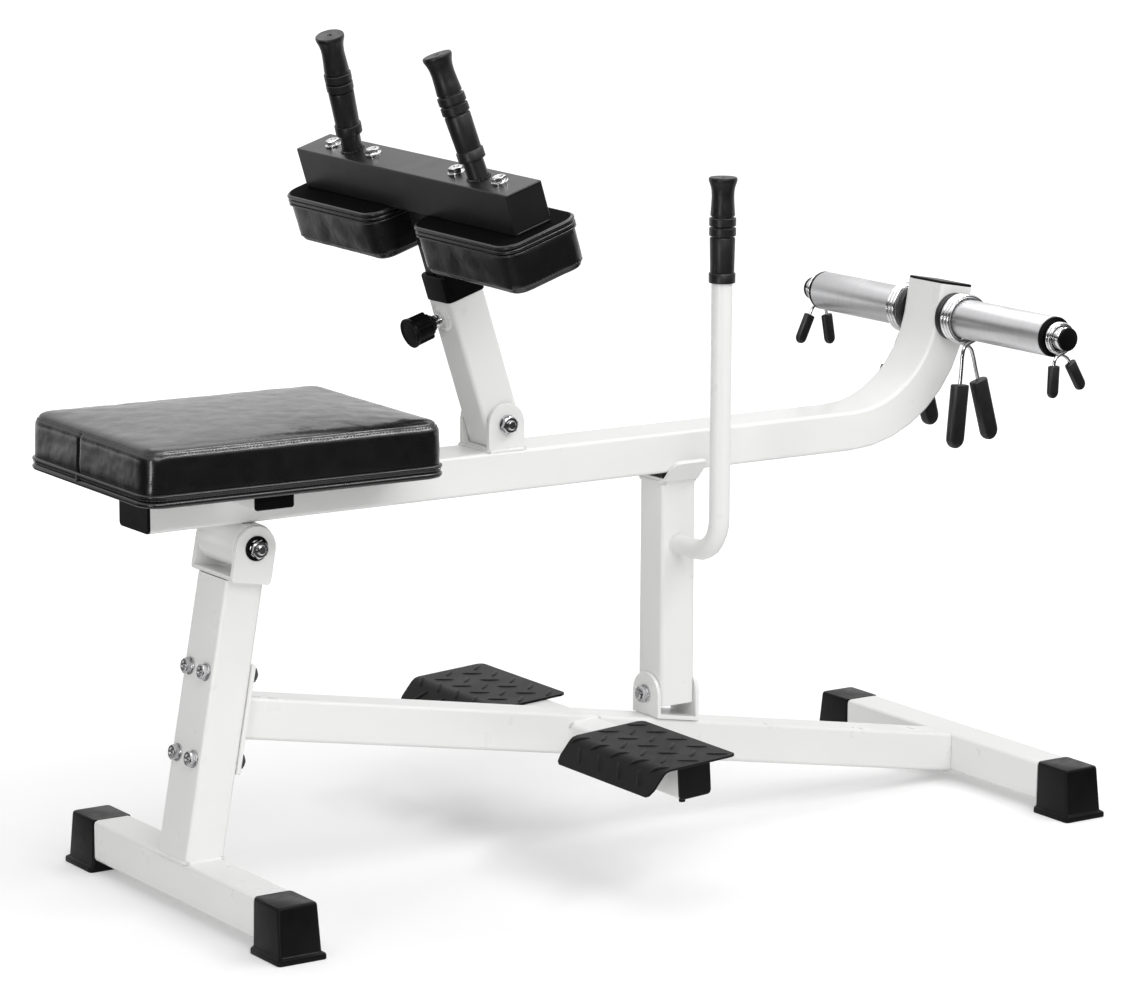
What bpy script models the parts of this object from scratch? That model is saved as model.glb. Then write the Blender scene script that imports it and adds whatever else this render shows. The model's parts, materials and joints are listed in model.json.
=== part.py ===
"""Seated calf raise machine, built as separate pieces in one frame.

Run in Blender. +X points from the seat to the weight end, -Y is the side of the
release handle, +Z is up and the floor is z = 0. Sizes below are in millimetres
and become metres when a mesh is made. X is measured from the front face of the
front crossbar, and X_MID then moves the machine's middle to x = 0.
"""
import math

import bmesh
import bpy
from mathutils import Matrix, Vector

MM = 0.001
GAP = 0.3                 # clearance left between pieces that touch

# Tube stock
TUBE = 50.0               # square tube of the frame
WALL = 2.5
CORNER = 5.0              # outside corner radius of the square tubes

# Base: two crossbars on foot caps
FOOT_LIFT = 14.0          # floor to the underside of a crossbar
REAR_X = 1128.0           # front face of the rear crossbar
FRONT_HALF = 192.0        # half length of the front crossbar tube
REAR_HALF = 197.0
CAP_LENGTH = 56.0         # foot cap beyond the end of the tube
CAP_FLARE = 2.0           # how much wider each side of a cap is at its foot
CAP_OUT = 7.0             # how far the outer end of a cap leans out
FLANGE = 8.0              # height of the flange round the foot of a cap
FLANGE_LIP = 4.5          # how far the flange stands out
SPIGOT = 30.0             # depth of a foot cap's spigot inside the crossbar
SPIGOT_PLAY = 2.3         # a foot cap's spigot to the tube's wall
PLUG_SPIGOT = 18.0        # the same depth for the flat end caps

# Front post and base beam, square to each other
LEAN = math.radians(10.0)
POST_W = 70.0             # across the machine
POST_LENGTH = 331.5
PLATE_T = 5.0             # mounting plate welded on the beam's front end
PLATE_HALF = 65.0
BOLT_P = 51.0             # bolt rows above and below the beam's middle
BOLT_Y = 19.0
BOLT_R = 5.0
BOLT_HEAD = (8.5, 6.5)    # half width across flats and height, as for the bolts below

# Main pivot
PIVOT_UP = 41.5           # from the post's top, along the post
PIVOT_R = 8.0
PIVOT_HEAD = (12.0, 9.0)
BARREL_R = 28.0
BARREL_W = 84.0
EAR_T = 6.0
EAR_SPACE = 0.6           # beside the barrel, each side
PIVOT_EAR_R = 26.0

# Lever arm
ARM_W = 70.0
ARM_H = 50.0
ARM_WALL = 3.0
ARM_UP = 27.0             # pivot to the underside of the level part
ARM_X0 = -39.0
BEND_X = 953.0            # where the upward bend starts
BEND_R = 155.0            # on the tube's middle line
BEND_TURN = math.radians(80.0)
ARM_TOP = 44.0            # straight length after the bend
BAR_UP = 5.0              # weight bar above the end of the bend
PLUG_T = 3.5

# Seat
SEAT_X0, SEAT_X1 = -104.0, 283.0
SEAT_HALF = 146.0
SEAT_THICK = 62.0
SEAT_CORNER = 24.0
CROSS_X = 43.0            # seat crossmember, front face
CROSS_H = 20.0
CROSS_SUNK = 16.0         # how deep it is let into the arm
CROSS_HALF = 126.0
CAP_T = 4.0               # end cap plates of the smaller tubes

# Weight bar, adapter sleeves and spring clips
BAR_R = 14.5
BAR_WALL = 3.0
BAR_HALF = 257.0
BAR_CAP = 4.5             # end plug beyond the bar
SLEEVE_R = 25.0
SLEEVE_WALL = 3.0
STUD = 25.0               # bar beyond the sleeve
WASHER_R = 30.0
WASHER_T = 8.0
BUSH_T = 4.0
SLEEVE_PLUG = 15.0        # depth of the washer and the bush inside the sleeve
CLIP_OFF = 2.5            # from the washer to a large clip
CLIP_WIRE = 2.7           # wire radius of the large clips
CLIP_TURNS = 3
CLIP_OPEN = math.radians(22.0)       # each end of a coil stops this far past the bottom
CLIP_REACH = 82.0         # from the bar's axis to the top of a grip
CLIP_GRIP = (6.5, 11.5, 80.0)        # half thickness, half width, length
STUD_OFF = 1.0            # from the bush to a small clip
STUD_WIRE = 2.2
STUD_TURNS = 2
STUD_REACH = 33.0
STUD_GRIP = (4.5, 8.2, 40.0)

# Footrests
TREAD_TILT = math.radians(3.5)
TREAD_X, TREAD_Z = 558.0, 157.7      # middle of the stub tube's top
STUB = 45.0
STUB_IN = 25.0            # end of the stub tube, inside the tread's outer edge
TREAD_FRONT, TREAD_REAR = -54.0, 40.0
TREAD_IN, TREAD_OUT = 86.0, 276.0
TREAD_T = 3.0
LIP_RUN, LIP_DROP = 26.0, 27.0

# Support post and its clevis
PROP_X = 669.4            # front face
PROP_BOTTOM = 160.0
PROP_PIVOT_Z = 173.0
PROP_SPACE = 1.0          # between the post and each ear
PROP_EAR_R = 27.0
PROP_EAR_T = 5.0
PIN_R = 6.0               # hinge bolts of the support post and the thigh post
PIN_HEAD = (9.5, 7.0)
SADDLE_T = 5.0
PAD_T = 8.0               # rubber pad on the saddle
SADDLE_IN = 7.0           # its bend, inside the arm's side
WING = 35.0               # length of the saddle's bent wing
PAD_HALF = 22.0
HANDLE_Z = 362.0          # where the release handle leaves the post
HANDLE_R = 12.7
HANDLE_WALL = 2.0
HANDLE_BEND = 46.0
HANDLE_Y = -109.0         # the upright part of the handle
HANDLE_TOP = 815.0
GRIP_L = 127.0
GRIP_END = 6.0            # thickness of a grip's closed end

# Thigh post
TILT = math.radians(18.0)
HINGE_X = 439.0
HINGE_UP = 27.5           # above the clevis base plate
THIGH_EAR_T = 6.0
THIGH_SPACE = 1.5         # beside the post, each side
THIGH_EAR_R = 25.0
THIGH_BASE_T = 4.0
THIGH_LOW = -20.5         # lower end of the post, along the post from its hinge
THIGH_HIGH = 164.0
COLLAR_TOP = 196.0
COLLAR_LIP = 1.5
COLLAR_SPIGOT = 14.0      # inside the post, clear of the pull pin
SLIDER = 42.0
SLIDER_WALL = 2.0
SLIDER_LOW = 60.0
PIN_U = 143.0
HOLE_PITCH = 25.0
HOLE_COUNT = 5
NOSE_R = 4.0
PIN_PLAY = 0.5            # round the pull pin in its holes
KNOB_R = 18.0
KNOB_OUT = 22.0           # from the post's face to the knob
KNOB_L = 28.0

# Cross beam, handles and thigh pads
BEAM_U = 278.0            # underside of the cross beam
BEAM_HALF = 230.0
GRIP_BASE_Y = 138.0
HANDLE_IN = math.radians(8.0)
ROD_R = 10.5
ROD_L = 140.0
NECK = 22.0               # bare handle below its grip
PAD_IN, PAD_OUT = 40.0, 248.0
PAD_V = 50.0
PAD_THICK = 62.0
PAD_CORNER = 22.0

# Derived
CROSS_TOP = FOOT_LIFT + TUBE
SIN, COS, TAN = math.sin(LEAN), math.cos(LEAN), math.tan(LEAN)
BEAM_P = (FOOT_LIFT + TUBE / 2 - CROSS_TOP + REAR_X * TAN) * COS
PIVOT_P = POST_LENGTH + PIVOT_UP
PIVOT = Vector((TUBE / 2 * COS + PIVOT_P * SIN, 0, CROSS_TOP + PIVOT_P * COS - TUBE / 2 * SIN))
ARM_Z = PIVOT.z + ARM_UP
ARM_MID_Z = ARM_Z + ARM_H / 2
ARM_TOP_Z = ARM_Z + ARM_H
BEND_END = Vector((BEND_X + BEND_R * math.sin(BEND_TURN), 0,
                   ARM_MID_Z + BEND_R * (1 - math.cos(BEND_TURN))))
BEND_DIR = Vector((math.cos(BEND_TURN), 0, math.sin(BEND_TURN)))
BAR = BEND_END + BEND_DIR * BAR_UP
HINGE = Vector((HINGE_X, 0, ARM_TOP_Z + GAP + THIGH_BASE_T + HINGE_UP))
STUB_END = TREAD_OUT - STUB_IN
PROP_MID = PROP_X + TUBE / 2
PROP_EAR_X = PROP_X - PROP_SPACE - PROP_EAR_T
SADDLE_HALF = ARM_W / 2 - SADDLE_IN
PROP_PIVOT = Vector((PROP_MID, 0, PROP_PIVOT_Z))
PROP_TOP = ARM_Z - PAD_T - SADDLE_T - 3 * GAP
CROSS_Z = ARM_TOP_Z - CROSS_SUNK
SEAT_Z = CROSS_Z + CROSS_H + GAP
SLEEVE_START = ARM_W / 2 + GAP + WASHER_T + GAP
SLEEVE_END = BAR_HALF - STUD
BUSH_FACE = SLEEVE_END + GAP + BUSH_T
X_MID = (SEAT_X0 + REAR_X + TUBE + CAP_FLARE + FLANGE_LIP) / 2

NEAR, FAR = -1, 1
SIDES = (("near", NEAR), ("far", FAR))
# How each clip lies in its turn about the bar: (sideways, angle) of its outer and inner grip
CLIP_LEGS = {NEAR: ((10.0, math.radians(5)), (24.0, math.radians(15))),
             FAR: ((18.0, math.radians(14)), (30.0, math.radians(26)))}
STUD_LEGS = {NEAR: ((12.0, math.radians(2)), (15.5, math.radians(27))),
             FAR: ((6.0, math.radians(20)), (15.0, math.radians(19)))}
X, Y, Z = Vector((1, 0, 0)), Vector((0, 1, 0)), Vector((0, 0, 1))


def frame(origin, along_x, along_z):
    """Matrix of a local frame whose Y stays the machine's Y."""
    m = Matrix((along_x, Y, along_z)).transposed().to_4x4()
    m.translation = origin
    return m


WORLD = Matrix.Identity(4)
POST = frame(Vector((0, 0, CROSS_TOP)), Vector((COS, 0, -SIN)), Vector((SIN, 0, COS)))
THIGH = frame(HINGE, Vector((math.cos(TILT), 0, math.sin(TILT))),
              Vector((-math.sin(TILT), 0, math.cos(TILT))))
TREAD = frame(Vector((TREAD_X, 0, TREAD_Z)),
              Vector((math.cos(TREAD_TILT), 0, math.sin(TREAD_TILT))),
              Vector((-math.sin(TREAD_TILT), 0, math.cos(TREAD_TILT))))


def post_base(x, p):
    """How far back from the post frame's origin the height p reaches the plane x."""
    return (x - p * SIN) / COS


def beam_top(x):
    """Height of the base beam's upper face."""
    return CROSS_TOP + (BEAM_P + TUBE / 2) / COS - x * TAN


# Materials

def material(name, colour, metallic, roughness):
    mat = bpy.data.materials.new(name)
    mat.use_nodes = True
    bsdf = mat.node_tree.nodes["Principled BSDF"]
    bsdf.inputs["Base Color"].default_value = (*colour, 1)
    bsdf.inputs["Metallic"].default_value = metallic
    bsdf.inputs["Roughness"].default_value = roughness
    mat.diffuse_color = (*colour, 1)
    return mat


# Shapes: rings of points joined into solids

def rounded(width, height, radius, steps=2):
    """Points of a rectangle with rounded corners about the origin."""
    pts = []
    for k, (sx, sy) in enumerate(((1, 1), (-1, 1), (-1, -1), (1, -1))):
        cx, cy = sx * (width / 2 - radius), sy * (height / 2 - radius)
        for i in range(steps + 1):
            a = math.pi / 2 * (k + i / steps)
            pts.append((cx + radius * math.cos(a), cy + radius * math.sin(a)))
    return pts


def hollow(width, height, corner, wall):
    """Outside and inside of a rectangular tube."""
    return rounded(width, height, corner), rounded(width - 2 * wall, height - 2 * wall, corner - wall)


def circle(radius, count):
    return [(radius * math.cos(2 * math.pi * i / count), radius * math.sin(2 * math.pi * i / count))
            for i in range(count)]


def hexagon(flat, count):
    """A hexagon of the given half width across flats, with as many points as a circle."""
    pts = []
    for i in range(count):
        a = 2 * math.pi * i / count
        r = flat / math.cos((a + math.pi / 6) % (math.pi / 3) - math.pi / 6)
        pts.append((r * math.cos(a), r * math.sin(a)))
    return pts


def ring(points, origin, u, v):
    return [origin + u * a + v * b for a, b in points]


def loft(rings, closed=False):
    """Join rings of equal count. Closed joins the last to the first, as in a tube."""
    n = len(rings[0])
    verts = [p for r in rings for p in r]
    faces = []
    for k in range(len(rings) if closed else len(rings) - 1):
        a, b = k * n, (k + 1) % len(rings) * n
        faces += [(a + i, a + (i + 1) % n, b + (i + 1) % n, b + i) for i in range(n)]
    if not closed:
        faces.append(tuple(range(n)))
        faces.append(tuple(range((len(rings) - 1) * n, len(rings) * n)))
    return verts, faces


def mesh_object(name, shape, mat, place=WORLD):
    verts, faces = shape
    me = bpy.data.meshes.new(name)
    me.from_pydata([(place @ Vector(v) - X * X_MID) * MM for v in verts], [], faces)
    bm = bmesh.new()
    bm.from_mesh(me)
    bmesh.ops.remove_doubles(bm, verts=bm.verts, dist=0.000001)
    bmesh.ops.recalc_face_normals(bm, faces=bm.faces)
    bm.to_mesh(me)
    bm.free()
    me.materials.append(mat)
    me.shade_smooth()
    me.set_sharp_from_angle(angle=math.radians(32))
    obj = bpy.data.objects.new(name, me)
    bpy.context.scene.collection.objects.link(obj)
    return obj


def combine(target, tool_shape, place=WORLD, operation="DIFFERENCE"):
    """Cut a hidden shape out of a piece, or join it on."""
    count = len(target.modifiers)
    tool = mesh_object(f"{target.name}_tool_{count}", tool_shape, target.data.materials[0], place)
    tool.hide_render = True
    tool.display_type = "WIRE"
    mod = target.modifiers.new(f"step_{count}", "BOOLEAN")
    mod.operation = operation
    mod.solver = "EXACT"
    mod.object = tool
    return target


def rod(radius, start, end, count=16):
    """Round bar between two points."""
    axis = (end - start).normalized()
    u = axis.orthogonal().normalized()
    return loft([ring(circle(radius, count), p, u, axis.cross(u)) for p in (start, end)])


def rods(radius, pairs, count=12):
    """Several round bars in one cutting shape."""
    verts, faces = [], []
    for start, end in pairs:
        v, f = rod(radius, start, end, count)
        faces += [tuple(i + len(verts) for i in face) for face in f]
        verts += v
    return verts, faces


def block(x0, x1, y0, y1, z0, z1):
    pts = [(y0, z0), (y1, z0), (y1, z1), (y0, z1)]
    return loft([ring(pts, X * x, Y, Z) for x in (x0, x1)])


def pipe(outer, inner, ends):
    """Hollow straight tube. Each end is (origin, u, v)."""
    return loft([ring(outer, *ends[0]), ring(outer, *ends[1]),
                 ring(inner, *ends[1]), ring(inner, *ends[0])], closed=True)


def swept(stations, u, outer, inner):
    """Hollow tube along stations of (point, normal), with u across it all the way."""
    there = [ring(outer, p, u, n) for p, n in stations]
    back = [ring(inner, p, u, n) for p, n in reversed(stations)]
    return loft(there + back, closed=True)


def turned(steps, origin, axis, count=24, closed=False):
    """Stack of rings on an axis. A step is (along, radius) or (along, half flats, "hex")."""
    u = (Z if abs(axis.z) < 0.9 else X).cross(axis).normalized()
    v = axis.cross(u)
    return loft([ring((hexagon if len(s) == 3 else circle)(s[1], count), origin + axis * s[0], u, v)
                 for s in steps], closed)


def plug(name, width, height, wall, corner, origin, out, u, mat, thick, place=WORLD):
    """Flat end cap of a rectangular tube, with a spigot inside the tube."""
    v = out.cross(u)
    face = rounded(width, height, corner)
    lip = rounded(width - 2, height - 2, corner - 1)
    inside = rounded(width - 2 * wall - 2 * GAP, height - 2 * wall - 2 * GAP, 2.0)
    rows = [(inside, -PLUG_SPIGOT), (inside, GAP), (face, GAP), (face, thick - 1), (lip, thick)]
    return mesh_object(name, loft([ring(p, origin + out * along, u, v) for p, along in rows]), mat, place)


def bolt(name, radius, head_size, start, end, axis, mat, place=WORLD):
    """Bolt with washers, head and nut. start and end are the outer faces it clamps."""
    flats, head = head_size
    grip = (end - start).dot(axis)
    washer = radius * 0.25 + 1
    rim = radius * 1.9
    near, far = -GAP - washer, grip + GAP + washer
    steps = [(near - head, flats, "hex"), (near, flats, "hex"), (near, rim), (-GAP, rim), (-GAP, radius),
             (grip + GAP, radius), (grip + GAP, rim), (far, rim), (far, flats, "hex"),
             (far + head, flats, "hex"), (far + head, radius), (far + head + 3, radius)]
    return mesh_object(name, turned(steps, start, axis, 12), mat, place)


def ear(radius, low, high, steps=10):
    """Outline of a clevis ear: flat below, round above, as (sideways, up) points."""
    arc = [(radius * math.cos(math.pi * i / steps), high + radius * math.sin(math.pi * i / steps))
           for i in range(steps + 1)]
    return [(-radius, low), (radius, low)] + arc


# Frame pieces

def crossbar(name, x0, half, mat):
    outer, inner = hollow(TUBE, TUBE, CORNER, WALL)
    mid = Vector((x0 + TUBE / 2, 0, FOOT_LIFT + TUBE / 2))
    return mesh_object(name, pipe(outer, inner, [(mid - Y * half, X, Z), (mid + Y * half, X, Z)]), mat)


def foot_cap(name, x0, half, side, mat):
    """Tapered plastic foot with a flange, plugged into the end of a crossbar."""
    inner_y, outer_y = half + GAP, half + CAP_LENGTH
    mid_x, mid_z = x0 + TUBE / 2, FOOT_LIFT + TUBE / 2

    def section(wide, out, z, corner):
        length = outer_y + out - inner_y
        outline = rounded(TUBE + 2 * wide, length, corner)
        return ring(outline, Vector((mid_x, side * (inner_y + length / 2), z)), X, Y * side)

    # Each row is (how much wider a side, how much further out, height, corner radius).
    rows = [(CAP_FLARE + FLANGE_LIP, CAP_OUT + FLANGE_LIP, 0, 4),
            (CAP_FLARE + FLANGE_LIP, CAP_OUT + FLANGE_LIP, FLANGE - 3, 4),
            (CAP_FLARE + 1, CAP_OUT + 1, FLANGE, 4),
            (CAP_FLARE, CAP_OUT, FLANGE + 1, 4),
            (0.5, 1, CROSS_TOP - 2, 4),
            (-1.5, -1, CROSS_TOP + 0.5, 3)]
    obj = mesh_object(name, loft([section(*row) for row in rows]), mat)
    size = TUBE / 2 - WALL - SPIGOT_PLAY
    y0, y1 = sorted((side * (half - SPIGOT), side * (inner_y + 5)))
    spigot = block(mid_x - size, mid_x + size, y0, y1, mid_z - size, mid_z + size)
    return combine(obj, spigot, operation="UNION")


def front_post(mat):
    """Leaning tube cut level at its foot and drilled for the mounting bolts."""
    outer, inner = hollow(TUBE, POST_W, CORNER, WALL)

    def foot(points):
        return [Vector((q + TUBE / 2, y, ((q + TUBE / 2) * SIN + GAP) / COS)) for q, y in points]

    def head(points):
        return [Vector((q + TUBE / 2, y, POST_LENGTH)) for q, y in points]

    rings = [foot(outer), head(outer), head(inner), foot(inner)]
    obj = mesh_object("front_post", loft(rings, closed=True), mat, POST)
    return combine(obj, bolt_holes(-5, TUBE + 5), POST)


def bolt_places():
    return [(y, BEAM_P + p) for p in (BOLT_P, -BOLT_P) for y in (-BOLT_Y, BOLT_Y)]


def bolt_holes(q0, q1):
    ends = [(Vector((q0, y, p)), Vector((q1, y, p))) for y, p in bolt_places()]
    return rods(BOLT_R + GAP, ends)


def base_beam(mat):
    """Square tube to the rear crossbar, with the mounting plate welded on its front."""
    outer, inner = hollow(TUBE, TUBE, CORNER, WALL)
    plate = rounded(POST_W, 2 * PLATE_HALF, 3)
    q0 = TUBE + GAP

    def upright(points, q):
        return [Vector((q, y, BEAM_P + p)) for y, p in points]

    def tail(points):
        return [Vector((post_base(REAR_X - GAP, BEAM_P + p), y, BEAM_P + p)) for y, p in points]

    rings = [upright(plate, q0), upright(plate, q0 + PLATE_T), upright(outer, q0 + PLATE_T),
             tail(outer), tail(inner), upright(inner, q0 + PLATE_T)]
    obj = mesh_object("base_beam", loft(rings), mat, POST)
    return combine(obj, bolt_holes(q0 - 5, q0 + PLATE_T + 10), POST)


def clevis(name, radius, low, high, half, ear_t, base_t, pin_r, mat, place):
    """U bracket with round ears across Y. low and high run from its base to its pin."""
    ends = [[Vector((a, y, b)) for a, b in ear(radius, low, high)] for y in (-half, half)]
    obj = mesh_object(name, loft(ends), mat, place)
    inner = half - ear_t
    combine(obj, block(-radius - 5, radius + 5, -inner, inner, low + base_t, high + radius + 5), place)
    return combine(obj, rod(pin_r + GAP, Vector((0, -half - 5, high)), Vector((0, half + 5, high))), place)


def support_clevis(mat):
    """U bracket on the sloping beam, its ears facing front and rear."""
    x0, x1 = PROP_EAR_X, 2 * PROP_MID - PROP_EAR_X
    wide, above = PROP_EAR_R + 5, PROP_PIVOT_Z + PROP_EAR_R + 5

    def section(x):
        return [Vector((x, a, b)) for a, b in ear(PROP_EAR_R, beam_top(x) + GAP, PROP_PIVOT_Z)]

    def slot(x):
        floor = beam_top(x) + GAP + PROP_EAR_T
        corners = ((-wide, floor), (wide, floor), (wide, above), (-wide, above))
        return [Vector((x, y, z)) for y, z in corners]

    obj = mesh_object("support_clevis", loft([section(x0), section(x1)]), mat)
    combine(obj, loft([slot(x0 + PROP_EAR_T), slot(x1 - PROP_EAR_T)]))
    return combine(obj, rod(PIN_R + GAP, PROP_PIVOT - X * TUBE, PROP_PIVOT + X * TUBE))


def strip(name, path, thick, across, point, mat, place=WORLD):
    """Bent plate. path holds (along, up, inset of the corners); across holds its two edges."""
    rings = []
    for k, (a, b, inset) in enumerate(path):
        before, after = path[max(k - 1, 0)], path[min(k + 1, len(path) - 1)]
        run = Vector((after[0] - before[0], after[1] - before[1])).normalized()
        up = Vector((-run.y, run.x)) * (1 if run.x > 0 else -1)
        low, high = (a, b), (a + up.x * thick, b + up.y * thick)
        e0, e1 = across[0] + inset, across[1] - inset
        rings.append([point(low, e0), point(low, e1), point(high, e1), point(high, e0)])
    return mesh_object(name, loft(rings), mat, place)


def footrest(side_name, side, mats):
    """Stub tube welded beside the beam, its end cap and the bent tread plate."""
    mid = Vector((0, 0, -STUB / 2))
    outer, inner = hollow(STUB, STUB, CORNER, WALL)
    ends = [(mid + Y * side * y, X, Z) for y in (TUBE / 2 + GAP, STUB_END)]
    mesh_object(f"footrest_tube_{side_name}", pipe(outer, inner, ends), mats["white"], TREAD)
    plug(f"footrest_cap_{side_name}", STUB, STUB, WALL, CORNER, mid + Y * side * STUB_END, Y * side, X,
         mats["plastic"], CAP_T, TREAD)
    # From the rear edge to the bend, then down the lip
    path = [(TREAD_REAR, 0, 7), (TREAD_REAR - 3, 0, 2.5), (TREAD_REAR - 8, 0, 0), (TREAD_FRONT + 5, 0, 0),
            (TREAD_FRONT, -1, 0), (TREAD_FRONT - 4, -4, 0), (TREAD_FRONT - LIP_RUN + 8, -LIP_DROP + 8, 0),
            (TREAD_FRONT - LIP_RUN + 2, -LIP_DROP + 2, 3), (TREAD_FRONT - LIP_RUN, -LIP_DROP, 8)]

    def point(flat, edge):
        return Vector((flat[0], side * edge, flat[1] + GAP))

    strip(f"footrest_{side_name}", path, TREAD_T, (TREAD_IN, TREAD_OUT), point, mats["tread"], TREAD)


# Lever pieces

def arm_stations():
    """Middle line of the arm with its upward normal."""
    out = [(Vector((ARM_X0, 0, ARM_MID_Z)), Z)]
    steps = 8
    centre = Vector((BEND_X, 0, ARM_MID_Z + BEND_R))
    for i in range(steps + 1):
        a = BEND_TURN * i / steps
        inward = Vector((-math.sin(a), 0, math.cos(a)))
        out.append((centre - inward * BEND_R, inward))
    out.append((BEND_END + BEND_DIR * ARM_TOP, out[-1][1]))
    return out


def lever_arm(mat):
    """Bent tube with the weight bar's hole and a notch for the seat crossmember."""
    stations = arm_stations()
    obj = mesh_object("lever_arm", swept(stations, Y, *hollow(ARM_W, ARM_H, CORNER, ARM_WALL)), mat)
    combine(obj, rod(BAR_R + GAP, BAR - Y * ARM_W, BAR + Y * ARM_W))
    notch = block(CROSS_X - GAP, CROSS_X + TUBE + GAP, -ARM_W, ARM_W, CROSS_Z - GAP, ARM_TOP_Z + CROSS_H)
    return combine(obj, notch)


def cushion(name, half_l, half_w, thick, corner, mat, place, up):
    """Upholstered pad: a welted band at the board, then walls that roll into the face."""
    # Each row is (height, inset of the outline).
    rows = [(0, 2), (3, 0), (13, 0), (15, 2.5), (17, 2.5), (thick * 0.72, 2.0), (thick - 8, 3.5),
            (thick - 3, 7), (thick - 0.8, 13), (thick, 24)]
    rings = []
    for height, inset in rows:
        outline = rounded(2 * (half_l - inset), 2 * (half_w - inset), max(corner - inset, 3), 3)
        rings.append(ring(outline, Z * up * height, X, Y))
    return mesh_object(name, loft(rings), mat, place)


def weight_end(side_name, side, mats):
    """Washer, adapter sleeve, outer bush and end plug on one side of the bar."""
    out = Y * side
    first = ARM_W / 2 + GAP
    start = SLEEVE_START
    inside = SLEEVE_R - SLEEVE_WALL - GAP
    bore = BAR_R + GAP
    washer = [(first, bore), (first, WASHER_R), (start - GAP, WASHER_R), (start - GAP, inside),
              (start + SLEEVE_PLUG, inside), (start + SLEEVE_PLUG, bore)]
    sleeve = [(start, SLEEVE_R - SLEEVE_WALL), (start, SLEEVE_R - 1), (start + 1, SLEEVE_R),
              (SLEEVE_END - 1, SLEEVE_R), (SLEEVE_END, SLEEVE_R - 1), (SLEEVE_END, SLEEVE_R - SLEEVE_WALL)]
    bush = [(SLEEVE_END - SLEEVE_PLUG, bore), (SLEEVE_END - SLEEVE_PLUG, inside),
            (SLEEVE_END + GAP, inside), (SLEEVE_END + GAP, SLEEVE_R), (BUSH_FACE - 1, SLEEVE_R),
            (BUSH_FACE, SLEEVE_R - 1), (BUSH_FACE, bore)]
    room = BAR_R - BAR_WALL - GAP
    tip = BAR_HALF + BAR_CAP
    stub = [(BAR_HALF - SLEEVE_PLUG, room), (BAR_HALF + GAP, room), (BAR_HALF + GAP, BAR_R),
            (tip - 1, BAR_R), (tip, BAR_R - 1.2)]
    return [mesh_object(f"sleeve_washer_{side_name}", turned(washer, BAR, out, 20, True), mats["rubber"]),
            mesh_object(f"adapter_sleeve_{side_name}", turned(sleeve, BAR, out, 20, True), mats["steel"]),
            mesh_object(f"sleeve_bush_{side_name}", turned(bush, BAR, out, 20, True), mats["plastic"]),
            mesh_object(f"bar_plug_{side_name}", turned(stub, BAR, out, 16), mats["plastic"])]


def spring_clip(name, side, inner, wire, turns, start_y, grip, reach, legs, mat):
    """Wire wound round the bar. Its two ends cross below the bar and run into flat grips.

    legs holds (sideways, angle) of each grip's top, outer end of the coil first.
    """
    thick, wide, length = grip
    per_turn = 12
    radius = (inner + GAP + wire) / math.cos(math.pi / per_turn)
    pitch = 2 * wire + GAP
    first = CLIP_OPEN - math.pi / 2
    last = first + 2 * (math.pi * turns - CLIP_OPEN)
    count = int(turns * per_turn)
    inner_y = start_y + wire
    outer_y = inner_y + pitch * turns

    def leg(sideways, angle):
        top = Vector((sideways, outer_y, -reach))
        down = Vector((math.sin(angle), 0, -math.cos(angle)))
        rows = [(0, wire, wire), (0.5, thick - 1, wide - 1), (2, thick, wide), (length - wide, thick, wide),
                (length - wide * 0.4, thick * 0.9, wide * 0.8), (length, thick * 0.5, wide * 0.35)]
        return [(top + down * along, a, b) for along, a, b in rows]

    outer, inside = legs
    path = list(reversed(leg(-outer[0], -outer[1])))
    for i in range(count + 1):
        a = first + (last - first) * i / count
        y = outer_y - (outer_y - inner_y) * i / count
        path.append((Vector((radius * math.cos(a), y, radius * math.sin(a))), wire, wire))
    path.append((Vector((wire, inner_y, -radius - 2.5 * wire)), wire, wire))
    path += leg(inside[0], inside[1])
    rings = []
    for k, (p, a, b) in enumerate(path):
        before, after = path[max(k - 1, 0)][0], path[min(k + 1, len(path) - 1)][0]
        run = ((p - before).normalized() + (after - p).normalized()).normalized()
        u = (Y - run * run.dot(Y)).normalized()
        rings.append(ring([(a * x, b * y) for x, y in circle(1, 6)], p, u, run.cross(u)))
    turned_round = Matrix.Translation(BAR) @ Matrix.Diagonal((-side, side, 1, 1))
    return mesh_object(name, loft(rings), mat, turned_round)


# Support post pieces

def support_post(mat):
    outer, inner = hollow(TUBE, TUBE, CORNER, WALL)
    ends = [(Vector((PROP_MID, 0, z)), X, Y) for z in (PROP_BOTTOM, PROP_TOP)]
    obj = mesh_object("support_post", pipe(outer, inner, ends), mat)
    return combine(obj, rod(PIN_R + GAP, PROP_PIVOT - X * TUBE, PROP_PIVOT + X * TUBE))


def saddle(mat):
    """Plate on the post whose near edge is bent up beside the arm."""
    slope = math.sqrt(0.5)

    def wing(along, inset):
        return (SADDLE_HALF + slope * along, slope * along + 2, inset)

    # From the far edge to the bend, then up the wing
    path = [(-SADDLE_HALF, 0, 0), (SADDLE_HALF - 4, 0, 0), (SADDLE_HALF + 1, 1.5, 0),
            wing(WING - 8, 0), wing(WING - 2, 3), wing(WING, 9)]

    def point(flat, edge):
        return Vector((edge, -flat[0], PROP_TOP + GAP + flat[1]))

    return strip("saddle", path, SADDLE_T, (PROP_X, PROP_X + TUBE), point, mat)


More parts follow.
